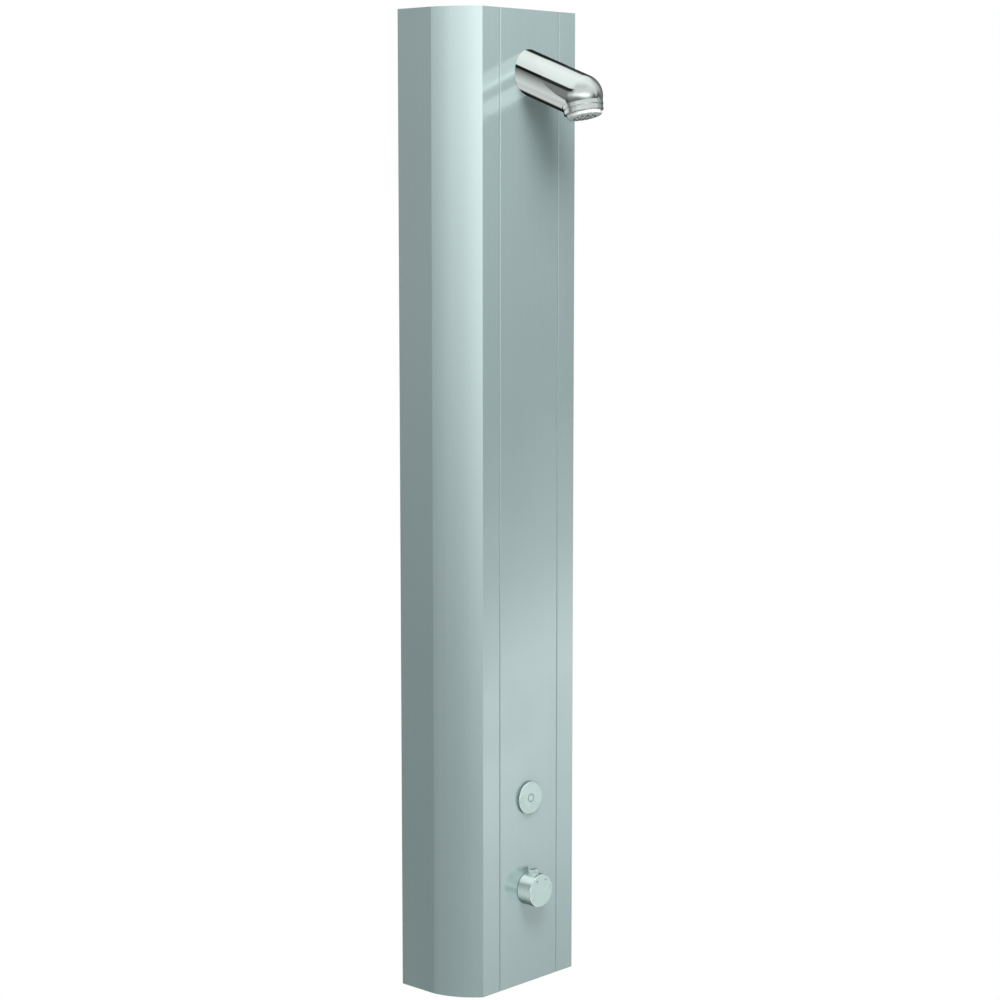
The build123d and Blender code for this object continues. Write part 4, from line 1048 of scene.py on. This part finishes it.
@dataclass
class NozzleTips:
    """Soft collars round the holes of the spray insert, in black as painted shade, so that the holes
    read as dark dots.

    Attributes:
        ring: The ring that the insert sits in.
        circles: Radius of each circle of nozzles, and its count.
        rim: Height of the insert's rim, from the ball's middle along the outlet.
        dome: How much higher its middle is.
        dome_radius: Radius of the dome.
        hole: Radius of a nozzle's hole.
        tip: Outer radius of its collar at the tip.
        foot: Outer radius at the insert.
        proud: How far a collar stands out.
        root: How deep it stands in the insert.
        skirt: How far its foot stays straight.
    """

    ring: HeadRing
    circles: tuple[tuple[float, int], ...] = ((0.0, 1), (6.5, 6), (12.5, 12))
    rim: float = 25.2
    dome: float = 1.4
    dome_radius: float = 19.5
    hole: float = 0.7
    tip: float = 1.15
    foot: float = 1.5
    proud: float = 0.45
    root: float = 0.5
    skirt: float = 0.05

    def build(self, materials: Materials) -> None:
        """Build every collar and hang them on the panel.

        Args:
            materials: Material of each slot.
        """
        axis = np.array(self.ring.axis())
        ahead = np.array([1.0, 0.0, 0.0])
        aside = np.cross(axis, ahead)
        shapes = []
        for circle, count in self.circles:
            level = self.rim + self.dome * (1.0 - (circle / self.dome_radius) ** 2)
            outline = rounded([
                (self.hole, level - self.root, 0.0), (self.foot, level - self.root, 0.0),
                (self.foot, level + self.skirt, 0.1), (self.tip, level + self.proud, 0.15),
                (self.hole, level + self.proud, 0.1)])
            for step in range(count):
                turn = TURN * step / count
                spot = (np.array(self.ring.centre)
                        + circle * (math.cos(turn) * ahead + math.sin(turn) * aside))
                shapes.append(lathe(outline, spot, axis, 24))
        # Black here is painted shade: the collars are real, but their dark colour stands in for the
        # shade inside the nozzle holes
        Piece("nozzle_tips", "panel", "black_plastic").hang(shapes, materials)


@dataclass
class SafetyKey:
    """The small stop button on top of the knob, with the flange that keeps it in.

    Attributes:
        width: Its width.
        length: Its length, out of the wall.
        distance: Its middle's distance from the wall.
        top: Level of its top.
        flange_low: Level of the flange's underside.
        flange_height: The flange's height.
        flange_width: The flange's width.
        corner: Radius of its upright edges.
        edge: Radius of its upper edge.
        flange_corner: Radius of the flange's upright edges.
        flange_edge: Radius of its upper edge.
    """

    width: float = 12.0
    length: float = 7.0
    distance: float = 118.6
    top: float = -452.85
    flange_low: float = -462.37
    flange_height: float = 1.6
    flange_width: float = 14.4
    corner: float = 1.0
    edge: float = 0.9
    flange_corner: float = 0.4
    flange_edge: float = 0.2

    def build(self, materials: Materials) -> None:
        """Build the button and hang it on its own body.

        Args:
            materials: Material of each slot.
        """
        middle = (0.0, -self.distance)
        key = pillow(self.width / 2, self.length / 2, self.corner, middle, self.flange_low,
                     self.top, self.edge)
        flange = pillow(self.flange_width / 2, self.length / 2, self.flange_corner, middle,
                        self.flange_low, self.flange_low + self.flange_height, self.flange_edge)
        Piece("safety_key", "stop_button", "satin_chrome",
              ("safety_button",)).hang([key, flange], materials, 50.0)


@dataclass
class Spring:
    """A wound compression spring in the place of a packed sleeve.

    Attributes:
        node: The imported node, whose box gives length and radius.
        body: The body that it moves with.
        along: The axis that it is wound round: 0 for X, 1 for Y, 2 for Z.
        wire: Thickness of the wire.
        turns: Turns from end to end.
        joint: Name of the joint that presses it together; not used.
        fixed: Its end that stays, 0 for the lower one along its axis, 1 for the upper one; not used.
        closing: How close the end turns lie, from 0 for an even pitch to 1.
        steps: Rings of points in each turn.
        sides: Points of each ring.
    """

    node: str
    body: str
    along: int
    wire: float
    turns: float
    joint: str
    fixed: int = 0
    closing: float = 0.9
    steps: int = 28
    sides: int = 10

    def build(self, materials: Materials) -> None:
        """Wind the spring and hang it on its body.

        At share t of the wire the angle is 2 pi n t and the height t - c sin(2 pi t) / 2 pi, with
        c for the closing, so that the end turns lie close.

        Args:
            materials: Material of each slot.
        """
        low, high = (np.array(corner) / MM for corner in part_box(self.node))
        middle = (low + high) / 2.0
        axes = [axis for axis in range(3) if axis != self.along]
        radius = (high - low)[axes].min() / 2.0 - self.wire / 2.0
        share = np.linspace(0.0, 1.0, int(self.turns * self.steps))
        angle = TURN * self.turns * share
        rise = share - self.closing * np.sin(TURN * share) / TURN
        free = (high - low)[self.along] - self.wire
        spoke = np.zeros((len(share), 3))
        spoke[:, axes[0]], spoke[:, axes[1]] = np.cos(angle), np.sin(angle)
        upward = np.zeros(3)
        upward[self.along] = 1.0
        line = middle + radius * spoke + ((rise - 0.5) * free)[:, None] * upward
        around = np.linspace(0.0, TURN, self.sides, endpoint=False)[None, :, None]
        loops = (line[:, None] + self.wire / 2.0
                 * (np.cos(around) * spoke[:, None] + np.sin(around) * upward))
        made = Piece(f"{self.node}_wire", self.body, "spring_steel", (self.node,)).hang(
            [grid(loops * MM, capped=True)], materials)
        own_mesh(made)


def dress_cad(materials: Materials) -> None:
    """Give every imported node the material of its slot.

    Args:
        materials: Material of each slot.
    """
    for part in frame["record"]["subparts"]:
        node = frame["nodes"][part["node"]]
        node.data.materials.clear()
        node.data.materials.append(materials[part["material_slot"]])
        log.info("%s: %s", part["node"], part["material_slot"])


def main() -> None:
    """Build the studio, the materials and the pieces, in order."""
    logging.basicConfig(level=logging.INFO, format="%(message)s")
    PhotoCamera().place()
    Studio().build()
    effects = Effects()
    materials = {finish.slot: finish.material(effects) for finish in FINISHES}
    dress_cad(materials)
    ring = HeadRing()
    pieces = [SideProfile(-1), SideProfile(1), ring, NozzleTips(ring), SafetyKey(),
              Spring("safety_spring", "knob", 2, 0.8, 5.0, "stop_button_press"),
              Spring("button_spring", "panel", 1, 1.0, 7.0, "start_button_press", fixed=1),
              Spring("solenoid_spring", "panel", 0, 0.8, 8.0, "plunger_slide"),
              Spring("hot_check_spring", "panel", 1, 1.0, 6.0, "hot_check_slide"),
              Spring("cold_check_spring", "panel", 1, 1.0, 6.0, "cold_check_slide")]
    for piece in pieces:
        piece.build(materials)


if __name__ == "__main__":
    main()
